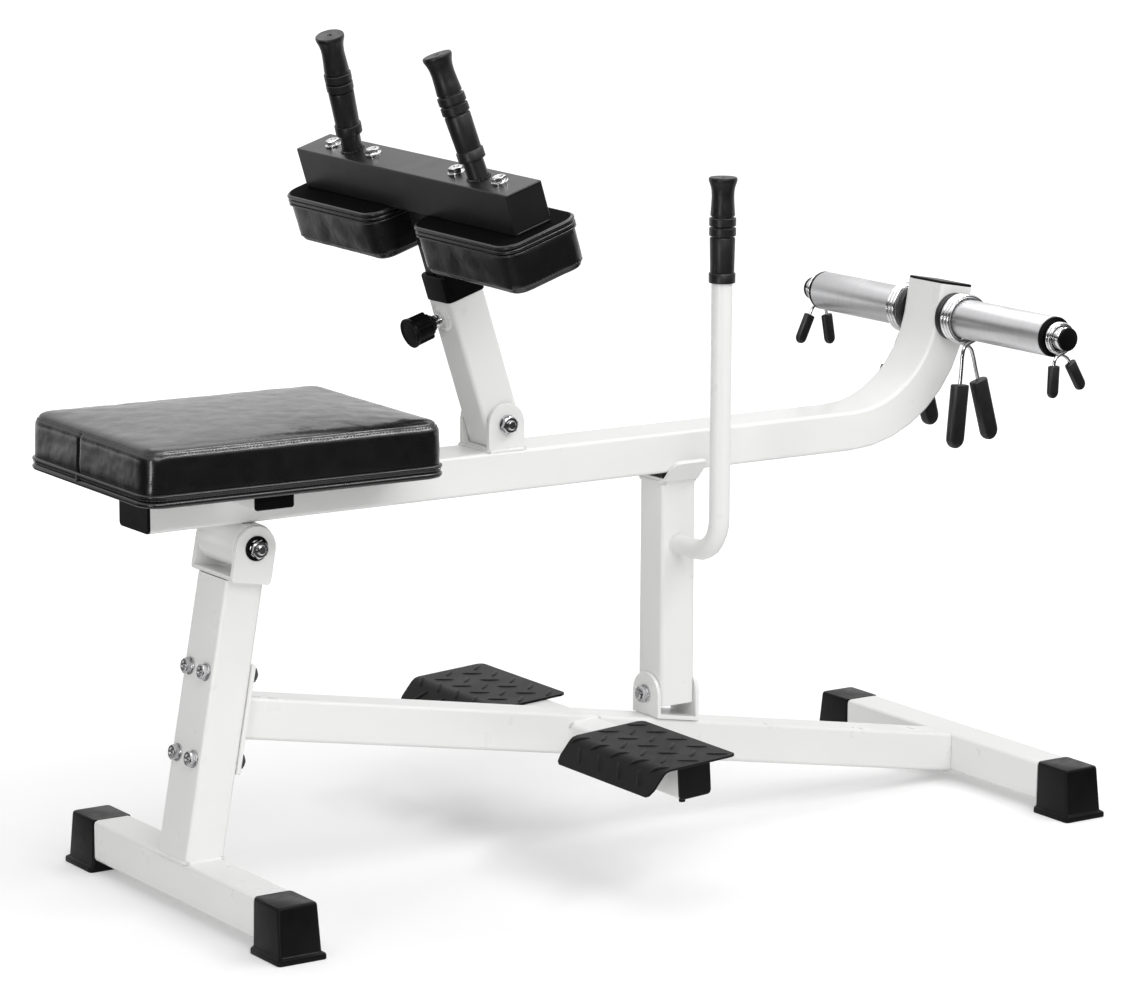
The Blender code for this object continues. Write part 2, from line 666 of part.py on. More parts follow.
def saddle_pad(mat):
    """Rubber pad whose top follows the post's swing, so it never lifts the arm."""
    low = PROP_TOP + SADDLE_T + 2 * GAP
    reach = ARM_Z - GAP - PROP_PIVOT_Z
    steps = 8
    ys = [PAD_HALF * (1 - 2 * i / steps) for i in range(steps + 1)]
    outline = [(y, PROP_PIVOT_Z + math.sqrt(reach ** 2 - y ** 2)) for y in ys]
    outline += [(-PAD_HALF, low), (PAD_HALF, low)]
    ends = [[Vector((x, y, z)) for y, z in outline] for x in (PROP_X + 2, PROP_X + TUBE - 2)]
    return mesh_object("saddle_pad", loft(ends), mat)


def release_handle(mat):
    """Round tube from the post's near face, bent upward beside the arm."""
    x = PROP_MID
    stations = [(Vector((x, -TUBE / 2 - GAP, HANDLE_Z)), Z)]
    centre = Vector((x, HANDLE_Y + HANDLE_BEND, HANDLE_Z + HANDLE_BEND))
    steps = 7
    for i in range(steps + 1):
        a = math.pi / 2 * i / steps
        inward = Vector((0, math.sin(a), math.cos(a)))
        stations.append((centre - inward * HANDLE_BEND, inward))
    stations.append((Vector((x, HANDLE_Y, HANDLE_TOP)), Y))
    shape = swept(stations, X, circle(HANDLE_R, 12), circle(HANDLE_R - HANDLE_WALL, 12))
    return mesh_object("release_handle", shape, mat)


def grip(name, bore, origin, axis, mat, place=WORLD):
    """Flared rubber grip with three rings, closed over the end of its tube."""
    rows = [(0, 15.5), (1, 16.2), (11, 16.2), (12, 15.5), (37, 16.0), (52, 16.0), (54, 14.4), (56, 16.4),
            (65, 16.4), (67, 14.4), (69, 16.4), (78, 16.4), (80, 14.6), (96, 15.0), (110, 14.6),
            (119, 16.5), (123, 17.5), (GRIP_L - 1, 17.2), (GRIP_L, 15.5)]
    sides = 12
    hole = bore / math.cos(math.pi / sides)
    steps = [(GRIP_L - GRIP_END, hole), (0, hole)] + rows
    return mesh_object(name, turned(steps, origin, axis, sides), mat, place)


# Thigh pieces, in the frame of the tilted post: X backward, Z up the post

def thigh_post(mat):
    outer, inner = hollow(TUBE, TUBE, CORNER, WALL)
    ends = [(Z * THIGH_LOW, X, Y), (Z * THIGH_HIGH, X, Y)]
    obj = mesh_object("thigh_post", pipe(outer, inner, ends), mat, THIGH)
    combine(obj, rod(PIN_R + GAP, Y * -TUBE, Y * TUBE), THIGH)
    return combine(obj, rod(NOSE_R + PIN_PLAY, Vector((-TUBE, 0, PIN_U)), Z * PIN_U, 12), THIGH)


def square(size, corner):
    return rounded(size, size, corner)


def thigh_collar(mat):
    """Plastic guide plugged into the post, in which the inner tube slides."""
    bore = square(SLIDER + 2 * GAP, 3)
    spigot = square(TUBE - 2 * WALL - 2 * GAP, 2.5)
    body = square(TUBE + 2 * COLLAR_LIP, CORNER + 1)
    top = square(TUBE + 2 * COLLAR_LIP - 3, CORNER)
    bottom = THIGH_HIGH - COLLAR_SPIGOT
    low = THIGH_HIGH + GAP
    rows = [(spigot, bottom), (spigot, low), (body, low), (body, COLLAR_TOP - 2), (top, COLLAR_TOP),
            (bore, COLLAR_TOP), (bore, bottom)]
    rings = [ring(outline, Z * u, X, Y) for outline, u in rows]
    return mesh_object("thigh_collar", loft(rings, closed=True), mat, THIGH)


def thigh_slider(mat):
    """Inner tube with a row of holes for the pull pin."""
    outer, inner = hollow(SLIDER, SLIDER, 3, SLIDER_WALL)
    ends = [(Z * SLIDER_LOW, X, Y), (Z * (BEAM_U - GAP), X, Y)]
    obj = mesh_object("thigh_slider", pipe(outer, inner, ends), mat, THIGH)
    first = PIN_U - HOLE_PITCH * (HOLE_COUNT - 1) / 2
    heights = [first + HOLE_PITCH * k for k in range(HOLE_COUNT)]
    holes = rods(NOSE_R + PIN_PLAY, [(Vector((-SLIDER, 0, u)), Vector((0, 0, u))) for u in heights])
    return combine(obj, holes, THIGH)


def pull_pin(mat):
    """Round knob on a stem. Its nose stops just short of the sliding tube."""
    nose = SLIDER / 2 + GAP
    knob = TUBE / 2 + KNOB_OUT
    rows = [(nose, NOSE_R - 1), (nose + 1, NOSE_R), (knob, NOSE_R), (knob, KNOB_R * 0.55),
            (knob + 3, KNOB_R * 0.72), (knob + 8, KNOB_R * 0.78), (knob + 12, KNOB_R),
            (knob + KNOB_L - 3, KNOB_R), (knob + KNOB_L, KNOB_R - 3)]
    return mesh_object("pull_pin", turned(rows, Z * PIN_U, -X, 18), mat, THIGH)


def rod_axis(side):
    return Vector((0, -side * math.sin(HANDLE_IN), math.cos(HANDLE_IN)))


def cross_beam(mat):
    """Square tube closed at both ends, with a handle rod welded up from each side."""
    mid = BEAM_U + TUBE / 2
    ends = [ring(square(TUBE, 3), Vector((0, y, mid)), X, Z) for y in (-BEAM_HALF, BEAM_HALF)]
    obj = mesh_object("cross_beam", loft(ends), mat, THIGH)
    room, reach = TUBE / 2 - WALL, BEAM_HALF - WALL
    combine(obj, block(-room, room, -reach, reach, mid - room, mid + room), THIGH)
    combine(obj, rod(SLIDER / 2 - 5, Z * (BEAM_U - 5), Z * (BEAM_U + 10), 12), THIGH)
    for side_name, side in SIDES:
        base = Vector((0, side * GRIP_BASE_Y, BEAM_U + TUBE))
        handle = rod(ROD_R, base - rod_axis(side) * WALL, base + rod_axis(side) * ROD_L)
        combine(obj, handle, THIGH, "UNION")
    return obj


# Assembly

def axis_empty(name, place, parent=None):
    """Empty on a joint's axis, which carries the pieces that move with it."""
    empty = bpy.data.objects.new(name, None)
    bpy.context.scene.collection.objects.link(empty)
    empty.location = (place - X * X_MID) * MM
    empty.empty_display_size = 0.05
    bpy.context.view_layer.update()
    if parent:
        carry(parent, [empty])
    return empty


def carry(parent, pieces):
    for piece in pieces:
        world = piece.matrix_world.copy()
        piece.parent = parent
        piece.matrix_parent_inverse = parent.matrix_world.inverted()
        piece.matrix_world = world


def finishes():
    return {
        "white": material("white_paint", (0.86, 0.86, 0.85), 0.0, 0.35),
        "black": material("black_paint", (0.03, 0.03, 0.032), 0.0, 0.45),
        "tread": material("tread_paint", (0.035, 0.035, 0.037), 0.0, 0.55),
        "plastic": material("black_plastic", (0.02, 0.02, 0.02), 0.0, 0.5),
        "rubber": material("black_rubber", (0.025, 0.025, 0.025), 0.0, 0.75),
        "leather": material("black_leather", (0.025, 0.024, 0.024), 0.0, 0.4),
        "steel": material("brushed_steel", (0.62, 0.62, 0.62), 1.0, 0.35),
        "chrome": material("chrome", (0.8, 0.8, 0.8), 1.0, 0.12),
    }


def base(mats):
    """Everything that stays on the floor."""
    for bar_name, x0, half in (("front", 0, FRONT_HALF), ("rear", REAR_X, REAR_HALF)):
        crossbar(f"{bar_name}_crossbar", x0, half, mats["white"])
        for side_name, side in SIDES:
            foot_cap(f"foot_cap_{bar_name}_{side_name}", x0, half, side, mats["plastic"])
    front_post(mats["white"])
    base_beam(mats["white"])
    for number, (y, p) in enumerate(bolt_places(), 1):
        back = TUBE + GAP + PLATE_T
        bolt(f"post_bolt_{number}", BOLT_R, BOLT_HEAD, Vector((0, y, p)), Vector((back, y, p)), X,
             mats["chrome"], POST)
    for side_name, side in SIDES:
        footrest(side_name, side, mats)

    half = BARREL_W / 2 + EAR_SPACE + EAR_T
    post_middle = POST @ Matrix.Translation(X * TUBE / 2)
    clevis("pivot_clevis", PIVOT_EAR_R, POST_LENGTH + GAP, PIVOT_P, half, EAR_T, EAR_T, PIVOT_R,
           mats["white"], post_middle)
    bolt("pivot_bolt", PIVOT_R, PIVOT_HEAD, PIVOT - Y * half, PIVOT + Y * half, Y, mats["chrome"])

    reach = PROP_MID - PROP_EAR_X
    support_clevis(mats["white"])
    bolt("support_bolt", PIN_R, PIN_HEAD, PROP_PIVOT - X * reach, PROP_PIVOT + X * reach, X, mats["chrome"])


def barrel(mat):
    """Bush tube under the arm, with a flat on top where the arm is welded to it."""
    end, bore = BARREL_W / 2, PIVOT_R + GAP
    rows = [(-end, bore), (-end, BARREL_R - 1), (1 - end, BARREL_R), (end - 1, BARREL_R),
            (end, BARREL_R - 1), (end, bore)]
    obj = mesh_object("pivot_barrel", turned(rows, PIVOT, Y, 20, True), mat)
    flat = block(PIVOT.x - BARREL_R, PIVOT.x + BARREL_R, -BARREL_W, BARREL_W, ARM_Z - GAP, ARM_Z + BARREL_R)
    return combine(obj, flat)


def seat_pieces(mats):
    """Cushion, the crossmember under it and the crossmember's end caps."""
    middle = Vector((CROSS_X + TUBE / 2, 0, CROSS_Z + CROSS_H / 2))
    ends = [(middle + Y * y, X, Z) for y in (-CROSS_HALF, CROSS_HALF)]
    pieces = [mesh_object("seat_crossmember", pipe(*hollow(TUBE, CROSS_H, 3, WALL), ends), mats["white"])]
    for side_name, side in SIDES:
        pieces.append(plug(f"crossmember_cap_{side_name}", TUBE, CROSS_H, WALL, 3,
                           middle + Y * side * CROSS_HALF, Y * side, X, mats["plastic"], CAP_T))
    place = Matrix.Translation(Vector(((SEAT_X0 + SEAT_X1) / 2, 0, SEAT_Z)))
    pieces.append(cushion("seat", (SEAT_X1 - SEAT_X0) / 2, SEAT_HALF, SEAT_THICK, SEAT_CORNER,
                          mats["leather"], place, 1))
    return pieces


def lever(mats):
    """The arm and all that is fixed to it."""
    ends = arm_stations()
    pieces = [lever_arm(mats["white"]), barrel(mats["white"])]
    pieces.append(plug("arm_front_plug", ARM_W, ARM_H, ARM_WALL, CORNER, ends[0][0], -X, Y,
                       mats["plastic"], PLUG_T))
    pieces.append(plug("arm_top_plug", ARM_W, ARM_H, ARM_WALL, CORNER, ends[-1][0], BEND_DIR, Y,
                       mats["plastic"], PLUG_T))
    pieces += seat_pieces(mats)

    half = TUBE / 2 + THIGH_SPACE + THIGH_EAR_T
    pieces.append(clevis("thigh_clevis", THIGH_EAR_R, ARM_TOP_Z + GAP, HINGE.z, half, THIGH_EAR_T,
                         THIGH_BASE_T, PIN_R, mats["white"], Matrix.Translation(X * HINGE_X)))
    pieces.append(bolt("thigh_bolt", PIN_R, PIN_HEAD, HINGE - Y * half, HINGE + Y * half, Y, mats["chrome"]))

    inside = BAR_R - BAR_WALL
    rows = [(-BAR_HALF, inside), (-BAR_HALF, BAR_R), (BAR_HALF, BAR_R), (BAR_HALF, inside)]
    pieces.append(mesh_object("weight_bar", turned(rows, BAR, Y, 20, True), mats["steel"]))
    for side_name, side in SIDES:
        pieces += weight_end(side_name, side, mats)
    axis = axis_empty("lever_axis", PIVOT)
    carry(axis, pieces)
    return axis


def clips(mats, lever_axis):
    """Spring clips on the sleeves and on the ends of the bar, each free to slide off."""
    for side_name, side in SIDES:
        large = spring_clip(f"sleeve_clip_{side_name}", side, SLEEVE_R, CLIP_WIRE, CLIP_TURNS,
                            SLEEVE_START + CLIP_OFF, CLIP_GRIP, CLIP_REACH, CLIP_LEGS[side], mats["chrome"])
        small = spring_clip(f"bar_clip_{side_name}", side, BAR_R, STUD_WIRE, STUD_TURNS,
                            BUSH_FACE + STUD_OFF, STUD_GRIP, STUD_REACH, STUD_LEGS[side], mats["chrome"])
        for clip in (large, small):
            carry(axis_empty(f"{clip.name}_axis", BAR, lever_axis), [clip])


def support(mats):
    """The post that holds the arm up, which the release handle swings aside."""
    grip_base = Vector((PROP_MID, HANDLE_Y, HANDLE_TOP + GRIP_END + GAP - GRIP_L))
    pieces = [support_post(mats["white"]), saddle(mats["white"]), saddle_pad(mats["rubber"]),
              release_handle(mats["white"]),
              grip("release_grip", HANDLE_R + GAP, grip_base, Z, mats["rubber"])]
    carry(axis_empty("support_axis", PROP_PIVOT), pieces)


def thigh(mats, lever_axis):
    """The tilting post, its pull pin, and the pads and handles that slide up and down in it."""
    axis = axis_empty("thigh_axis", HINGE, lever_axis)
    carry(axis, [thigh_post(mats["white"]), thigh_collar(mats["plastic"])])
    carry(axis_empty("pin_axis", THIGH @ Vector((-TUBE / 2, 0, PIN_U)), axis), [pull_pin(mats["plastic"])])
    sliding = [thigh_slider(mats["black"]), cross_beam(mats["black"])]
    for side_name, side in SIDES:
        foot = Vector((0, side * GRIP_BASE_Y, BEAM_U + TUBE)) + rod_axis(side) * NECK
        sliding.append(grip(f"handle_grip_{side_name}", ROD_R + GAP, foot, rod_axis(side),
                            mats["rubber"], THIGH))
        place = THIGH @ Matrix.Translation(Vector((0, side * (PAD_IN + PAD_OUT) / 2, BEAM_U - GAP)))
        sliding.append(cushion(f"thigh_pad_{side_name}", PAD_V, (PAD_OUT - PAD_IN) / 2, PAD_THICK,
                               PAD_CORNER, mats["leather"], place, -1))
    carry(axis_empty("slider_axis", THIGH @ Vector((0, 0, BEAM_U)), axis), sliding)


def build():
    for old in list(bpy.data.objects):
        bpy.data.objects.remove(old, do_unlink=True)
    mats = finishes()
    base(mats)
    lever_axis = lever(mats)
    clips(mats, lever_axis)
    support(mats)
    thigh(mats, lever_axis)


build()
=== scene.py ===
"""Finished look of the seated calf raise machine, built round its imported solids."""

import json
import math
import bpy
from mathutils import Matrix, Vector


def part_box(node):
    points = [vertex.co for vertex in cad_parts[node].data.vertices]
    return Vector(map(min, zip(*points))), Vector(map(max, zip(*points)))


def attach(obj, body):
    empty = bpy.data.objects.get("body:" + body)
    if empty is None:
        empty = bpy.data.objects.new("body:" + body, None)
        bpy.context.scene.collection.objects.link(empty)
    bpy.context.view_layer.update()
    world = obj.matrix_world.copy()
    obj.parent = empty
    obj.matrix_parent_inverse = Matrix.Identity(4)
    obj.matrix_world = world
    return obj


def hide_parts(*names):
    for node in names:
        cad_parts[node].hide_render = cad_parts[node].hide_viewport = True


bl_info = {
    "name": "Calf Raise Machine Finish",
    "version": (1, 0, 0),
    "blender": (4, 5, 0),
    "location": "View3D > Sidebar > Calf Raise",
    "description": "Builds the finished pieces and materials of a seated calf raise machine",
    "category": "Object",
}

from contextlib import contextmanager

import bpy
from bpy.props import FloatProperty, FloatVectorProperty, IntProperty, PointerProperty
from mathutils import Matrix, Vector, noise

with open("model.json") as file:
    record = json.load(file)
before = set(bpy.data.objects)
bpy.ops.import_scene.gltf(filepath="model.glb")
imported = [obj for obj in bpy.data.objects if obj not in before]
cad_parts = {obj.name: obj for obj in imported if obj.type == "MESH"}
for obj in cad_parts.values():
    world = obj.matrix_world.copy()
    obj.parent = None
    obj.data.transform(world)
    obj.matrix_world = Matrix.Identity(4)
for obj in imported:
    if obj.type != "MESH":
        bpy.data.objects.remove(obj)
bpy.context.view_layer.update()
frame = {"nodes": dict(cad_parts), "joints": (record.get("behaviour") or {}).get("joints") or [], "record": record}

MM = 0.001
X, Y, Z = Vector((1, 0, 0)), Vector((0, 1, 0)), Vector((0, 0, 1))
NEAR, FAR = -1, 1
SIDES = (("near", NEAR), ("far", FAR))
JOINTS = {joint["name"]: joint for joint in frame["joints"]}
BODY_OF = {node: body for body, nodes in frame["record"]["behaviour"]["bodies"].items()
           for node in nodes}
SLOT_COLOURS = {m["slot"]: tuple(m["base_color"][:3]) for m in frame["record"]["materials"]}


def axes(origin, along_x, along_y, along_z):
    """Matrix of a frame with its origin and its three axes."""
    place = Matrix((along_x, along_y, along_z)).transposed().to_4x4()
    place.translation = origin
    return place


def facing(origin, normal, across=Y):
    """Frame on a surface: Z along its normal, Y across the machine unless another way is given."""
    return axes(origin, across.cross(normal), across, normal)


def middle(node):
    low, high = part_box(node)
    return (low + high) / 2


def in_mm(rows):
    """Rows of a profile that is written in millimetres."""
    return [tuple(number * MM for number in row) for row in rows]


# Stock sizes of the solids
TUBE = 50 * MM
ARM_W = 70 * MM
STUB = 45 * MM
PLATE_T = 5 * MM
HANDLE_R = 12.7 * MM
CLEVIS_HALF = 32.5 * MM
LEAN = math.radians(10)
TREAD_TILT = math.radians(3.5)

# Sizes and places on the tilted thigh post, along it from its hinge and across the machine
PIN_U = 143 * MM
BEAM_U = 278 * MM
BEAM_HALF = 230 * MM
GRIP_BASE_Y = 138 * MM
GRIP_LEAN = math.radians(8)
GRIP_NECK = 22 * MM
ROD_R = 12.2 * MM
PAD_Y = 144 * MM
PAD_HALF = (54 * MM, 105 * MM)
PAD_THICK = 64 * MM

# Frames of the leaning and tilted pieces
PIVOT = Vector(JOINTS["lever_pivot"]["pos_m"])
HINGE = Vector(JOINTS["thigh_tilt"]["pos_m"])
PROP_PIVOT = Vector(JOINTS["support_post_swing"]["pos_m"])
BAR = middle("weight_bar")
UP_THIGH = Vector(JOINTS["thigh_height"]["axis"])
THIGH = facing(HINGE, UP_THIGH)
# The beam sits a little toward the seat, high and askew on its slider, as in the photo
BEAM_MID = Z * (BEAM_U + TUBE / 2)
BEAM_SHIFT = Vector((-6 * MM, 0, 2.4 * MM))
BEAM_TURN = math.radians(1.3)
HEAD = (THIGH @ Matrix.Translation(BEAM_MID + BEAM_SHIFT) @ Matrix.Rotation(BEAM_TURN, 4, "X")
        @ Matrix.Translation(-BEAM_MID))
CROSS_LOW, CROSS_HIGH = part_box("front_crossbar")
UP_POST = Vector((math.sin(LEAN), 0, math.cos(LEAN)))
POST = facing(Vector((CROSS_LOW.x, 0, CROSS_HIGH.z)), UP_POST)
UP_TREAD = Vector((-math.sin(TREAD_TILT), 0, math.cos(TREAD_TILT)))
STUB_MID = middle("footrest_tube_near")
TREAD = facing(Vector((STUB_MID.x, 0, STUB_MID.z)) + UP_TREAD * STUB / 2, UP_TREAD)


def length(name, description, default):
    return FloatProperty(name=name, description=description, default=default, min=0,
                         precision=4, unit="LENGTH")


def angle(name, description, default):
    return FloatProperty(name=name, description=description, default=math.radians(default),
                         subtype="ANGLE")


def factor(name, description, default, top=1.0):
    return FloatProperty(name=name, description=description, default=default, min=0, max=top)


def colour(name, description, default):
    return FloatVectorProperty(name=name, description=description, default=default, min=0, max=1,
                               size=3, subtype="COLOR")


def plain(name, description, default, unit="NONE"):
    return FloatProperty(name=name, description=description, default=default, unit=unit)


def watts(name, description, default):
    return plain(name, description, default, "POWER")


def pair(name, description, default):
    return FloatVectorProperty(name=name, description=description, default=default, size=2,
                               precision=3)


class CalfColours(bpy.types.PropertyGroup):
    white_paint: colour("White paint", "Powder coat of the frame", SLOT_COLOURS["white_paint"])
    black_paint: colour("Black paint", "Coat of the cross beam", (0.008, 0.008, 0.0085))
    tread_paint: colour("Tread paint", "Coat of the footrest plates", (0.005, 0.005, 0.0053))
    plastic: colour("Plastic", "Foot caps, plugs and collar", (0.003, 0.003, 0.0032))
    rubber: colour("Rubber", "Grips, washers and saddle pad", (0.008, 0.008, 0.0083))
    leather: colour("Leatherette", "Seat and thigh pads", (0.0035, 0.0035, 0.0037))
    thread: colour("Thread", "Stitches", (0.03, 0.03, 0.031))
    steel: colour("Brushed steel", "Weight sleeves", (0.70, 0.70, 0.71))
    chrome: colour("Chrome", "Bar and clips", SLOT_COLOURS["chrome"])
    zinc: colour("Zinc", "Bolts, nuts and washers", (0.56, 0.56, 0.57))


class CalfSteelwork(bpy.types.PropertyGroup):
    edge: length("Edge radius", "Broken edge of cut steel", 0.7 * MM)
    weld: length("Weld radius", "Radius of a weld bead", 2.2 * MM)
    ripple: factor("Weld ripple", "How much a bead's radius varies along it", 0.14)


class CalfUpholstery(bpy.types.PropertyGroup):
    voxel: length("Voxel", "Mesh size that the cloth is simulated at", 4.5 * MM)
    seat_swell: length("Seat swell", "Furthest that the seat's cover may move", 5 * MM)
    pad_swell: length("Pad swell", "Furthest that a thigh pad's cover may move", 3.5 * MM)
    pressure: factor("Pressure", "Air pressure of the cloth simulation", 4.0, 20.0)
    frames: IntProperty(name="Frames", description="Frames of cloth simulation", default=20, min=2,
                        max=60)
    stitch: length("Stitch", "Length of a stitch", 3 * MM)
    stitch_pitch: length("Stitch pitch", "From one stitch to the next", 4.3 * MM)


class CalfStage(bpy.types.PropertyGroup):
    azimuth: angle("Azimuth", "Camera's turn round the machine", -33.734)
    elevation: angle("Elevation", "Camera's height above the horizon", 11.208)
    roll: angle("Roll", "Camera's tilt about its own axis", 0.282)
    distance: length("Distance", "Camera to its target", 5.217)
    target: FloatVectorProperty(name="Target", description="Point that the camera looks at", size=3,
                                default=(0.02075, 0.0, 0.4054), subtype="TRANSLATION")
    lens: plain("Lens", "Focal length in millimetres", 136.43)
    shift_x: plain("Shift X", "Sideways shift of the frame", -0.0071)
    shift_y: plain("Shift Y", "Upward shift of the frame", 0.0150)
    floor: colour("Floor", "Pale floor", (0.80, 0.80, 0.80))
    sky: factor("World light", "Strength of the even light from all round", 0.47, 10.0)
    key: watts("Key lamp", "Power of the main softbox", 45)
    fill: watts("Fill lamp", "Power of the top softbox", 22)
    side: watts("Side lamp", "Power of the strip light in front", 15)
    edge: watts("Edge lamp", "Power of the strip light high on the right", 34)
    floor_fade: pair("Floor fade", "Distances between which the mirrored floor darkens",
                     (0.45, 1.2))
    floor_front: pair("Floor front", "Ways toward the camera between which it darkens too",
                      (-3.0, -0.5))
    floor_glow: pair("Floor glow", "Floor's own white near the machine and far off", (0.22, 0.75))
    horizon: pair("Horizon", "Heights between which the mirrored studio turns white", (0.12, 0.45))
    mirrored: pair("Studio", "Light of the mirrored studio, low and high", (0.05, 0.9))
    backdrop: factor("Backdrop", "Light of the backdrop behind the machine in reflections", 0.85)


# Modelling helpers


def clear_selection():
    if bpy.context.mode != "OBJECT":
        bpy.ops.object.mode_set(mode="OBJECT")
    bpy.ops.object.select_all(action="DESELECT")


def choose(*objs):
    clear_selection()
    for obj in objs:
        obj.select_set(True)
    bpy.context.view_layer.objects.active = objs[0]


@contextmanager
def editing(obj, part="FACE", everything=False):
    """Edit mode on one object, with what its mesh has marked selected, or everything."""
    choose(obj)
    kinds = ("VERT", "EDGE", "FACE")
    bpy.context.tool_settings.mesh_select_mode = [part == kind for kind in kinds]
    bpy.ops.object.mode_set(mode="EDIT")
    if everything:
        bpy.ops.mesh.select_all(action="SELECT")
    yield
    bpy.ops.object.mode_set(mode="OBJECT")


def mark(obj, part, test):
    """Marks the faces or edges that pass the test and nothing else."""
    mesh = obj.data
    for kind in (mesh.vertices, mesh.edges, mesh.polygons):
        kind.foreach_set("select", [False] * len(kind))
    if part == "FACE":
        for face in mesh.polygons:
            face.select = test(face.center, face.normal)
    else:
        for edge in mesh.edges:
            a, b = (mesh.vertices[i].co for i in edge.vertices)
            edge.select = test(a, b)


def named(name):
    """The object that the last operator added, renamed."""
    obj = bpy.context.object
    obj.name = obj.data.name = name
    return obj


def sized(name, *size):
    """The primitive that was just added, renamed and brought to size."""
    obj = named(name)
    obj.scale = size
    bpy.ops.object.transform_apply()
    return obj


def modify(obj, kind, **values):
    """Adds a modifier, sets it and applies it."""
    choose(obj)
    bpy.ops.object.modifier_add(type=kind)
    modifier = obj.modifiers[-1]
    for name, value in values.items():
        setattr(modifier, name, value)
    bpy.ops.object.modifier_apply(modifier=modifier.name)


def bevelled(obj, radius, segments, test):
    """Rounds the edges that pass the test."""
    mark(obj, "EDGE", test)
    with editing(obj, "EDGE"):
        bpy.ops.mesh.bevel(offset=radius, segments=segments, affect="EDGES")


def smooth(obj, degrees):
    choose(obj)
    bpy.ops.object.shade_smooth_by_angle(angle=math.radians(degrees))


def put(obj, place):
    """Moves a piece modelled at the origin to its place, which goes into its mesh."""
    choose(obj)
    obj.matrix_world = place
    bpy.ops.object.transform_apply()
    return obj


def joined(objs, name):
    choose(*objs)
    bpy.ops.object.join()
    return named(name)


def copy_at(mesh, name, place):
    """Copy of a mesh at a place, as a new object with a mesh of its own."""
    obj = bpy.data.objects.new(name, mesh.copy())
    bpy.context.scene.collection.objects.link(obj)
    obj.data.transform(place)
    if place.determinant() < 0:
        obj.data.flip_normals()
    return obj


def set_aside(obj, degrees=None):
    """Shades a model smooth, keeps its mesh for copies and removes its object."""
    if degrees is not None:
        smooth(obj, degrees)
    mesh = obj.data
    mesh.use_fake_user = True
    bpy.data.objects.remove(obj)
    return mesh


def closed_up(obj):
    """Merges what meets and turns the normals out."""
    with editing(obj, "VERT", True):
        bpy.ops.mesh.remove_doubles(threshold=0.001 * MM)
        bpy.ops.mesh.normals_make_consistent(inside=False)
    return obj


def turned(name, rows, base=Vector(), axis=Z, sides=48, bored=False):
    """Turns a profile: a circle is extruded and resized for each row of (along, radius)."""
    clear_selection()
    along, radius = rows[0]
    bpy.ops.mesh.primitive_circle_add(vertices=sides, radius=radius, location=base + axis * along,
                                      fill_type="NOTHING" if bored else "NGON",
                                      rotation=Z.rotation_difference(axis).to_euler())
    obj = named(name)
    bpy.ops.object.transform_apply()
    with editing(obj, "EDGE" if bored else "FACE", True):
        for next_along, next_radius in rows[1:] + (rows[:1] if bored else []):
            step = axis * (next_along - along)
            bpy.ops.mesh.extrude_region_move(TRANSFORM_OT_translate={"value": step})
            bpy.ops.transform.resize(value=(next_radius / radius,) * 3,
                                     center_override=base + axis * next_along)
            along, radius = next_along, next_radius
    return closed_up(obj)


def stacked(name, rows, corner, steps=5):
    """Rounded rectangle, extruded and resized by rows of (height, half x, half y, middle y)."""
    clear_selection()
    height, half_x, half_y, mid_y = rows[0]
    bpy.ops.mesh.primitive_plane_add(size=2, location=(0, mid_y, height))
    obj = sized(name, half_x, half_y, 1)
    with editing(obj, "VERT", True):
        bpy.ops.mesh.bevel(offset=corner, segments=steps, affect="VERTICES")
        bpy.ops.mesh.select_mode(type="FACE")
        bpy.ops.mesh.select_all(action="SELECT")
        for next_height, next_x, next_y, next_mid in rows[1:]:
            step = (0, next_mid - mid_y, next_height - height)
            bpy.ops.mesh.extrude_region_move(TRANSFORM_OT_translate={"value": step})
            bpy.ops.transform.resize(value=(next_x / half_x, next_y / half_y, 1),
                                     center_override=(0, next_mid, next_height))
            height, half_x, half_y, mid_y = next_height, next_x, next_y, next_mid
    return closed_up(obj)


def loop_curve(name, half_x, half_y, corner, cuts, place, cover=None):
    """Closed curve round a rounded rectangle, drawn in to a cover's surface if one is given."""
    clear_selection()
    bpy.ops.mesh.primitive_plane_add(size=2)
    obj = sized(name, half_x, half_y, 1)
    with editing(obj, "VERT", True):
        bpy.ops.mesh.bevel(offset=corner, segments=6, affect="VERTICES")
        bpy.ops.mesh.delete(type="ONLY_FACE")
        bpy.ops.mesh.select_all(action="SELECT")
        bpy.ops.mesh.subdivide(number_cuts=cuts)
    put(obj, place)
    if cover is not None:
        modify(obj, "SHRINKWRAP", target=cover, wrap_method="NEAREST_SURFACEPOINT",
               wrap_mode="ABOVE_SURFACE", offset=0.2 * MM)
        choose(obj)
    bpy.ops.object.convert(target="CURVE")
    return obj


def wire(name, points, radius):
    """Round wire through the points, as a mesh."""
    data = bpy.data.curves.new(name, "CURVE")
    data.dimensions = "3D"
    data.bevel_depth = radius
    data.bevel_resolution = 3
    data.use_fill_caps = True
    data.resolution_u = 4
    spline = data.splines.new("BEZIER")
    spline.bezier_points.add(len(points) - 1)
    for knot, point in zip(spline.bezier_points, points):
        knot.co = point
        knot.handle_left_type = knot.handle_right_type = "AUTO"
    obj = bpy.data.objects.new(name, data)
    bpy.context.scene.collection.objects.link(obj)
    choose(obj)
    bpy.ops.object.convert(target="MESH")
    return closed_up(named(name))


def dressed(obj, finish, body, *nodes, degrees=None):
    """Gives a piece its finish and body, lets it stand for its solids and shades it smooth."""
    if degrees is not None:
        smooth(obj, degrees)
    material, slot = FINISHES[finish]
    obj.data.materials.clear()
    obj.data.materials.append(material)
    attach(obj, body)
    if nodes:
        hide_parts(*nodes)
    return obj


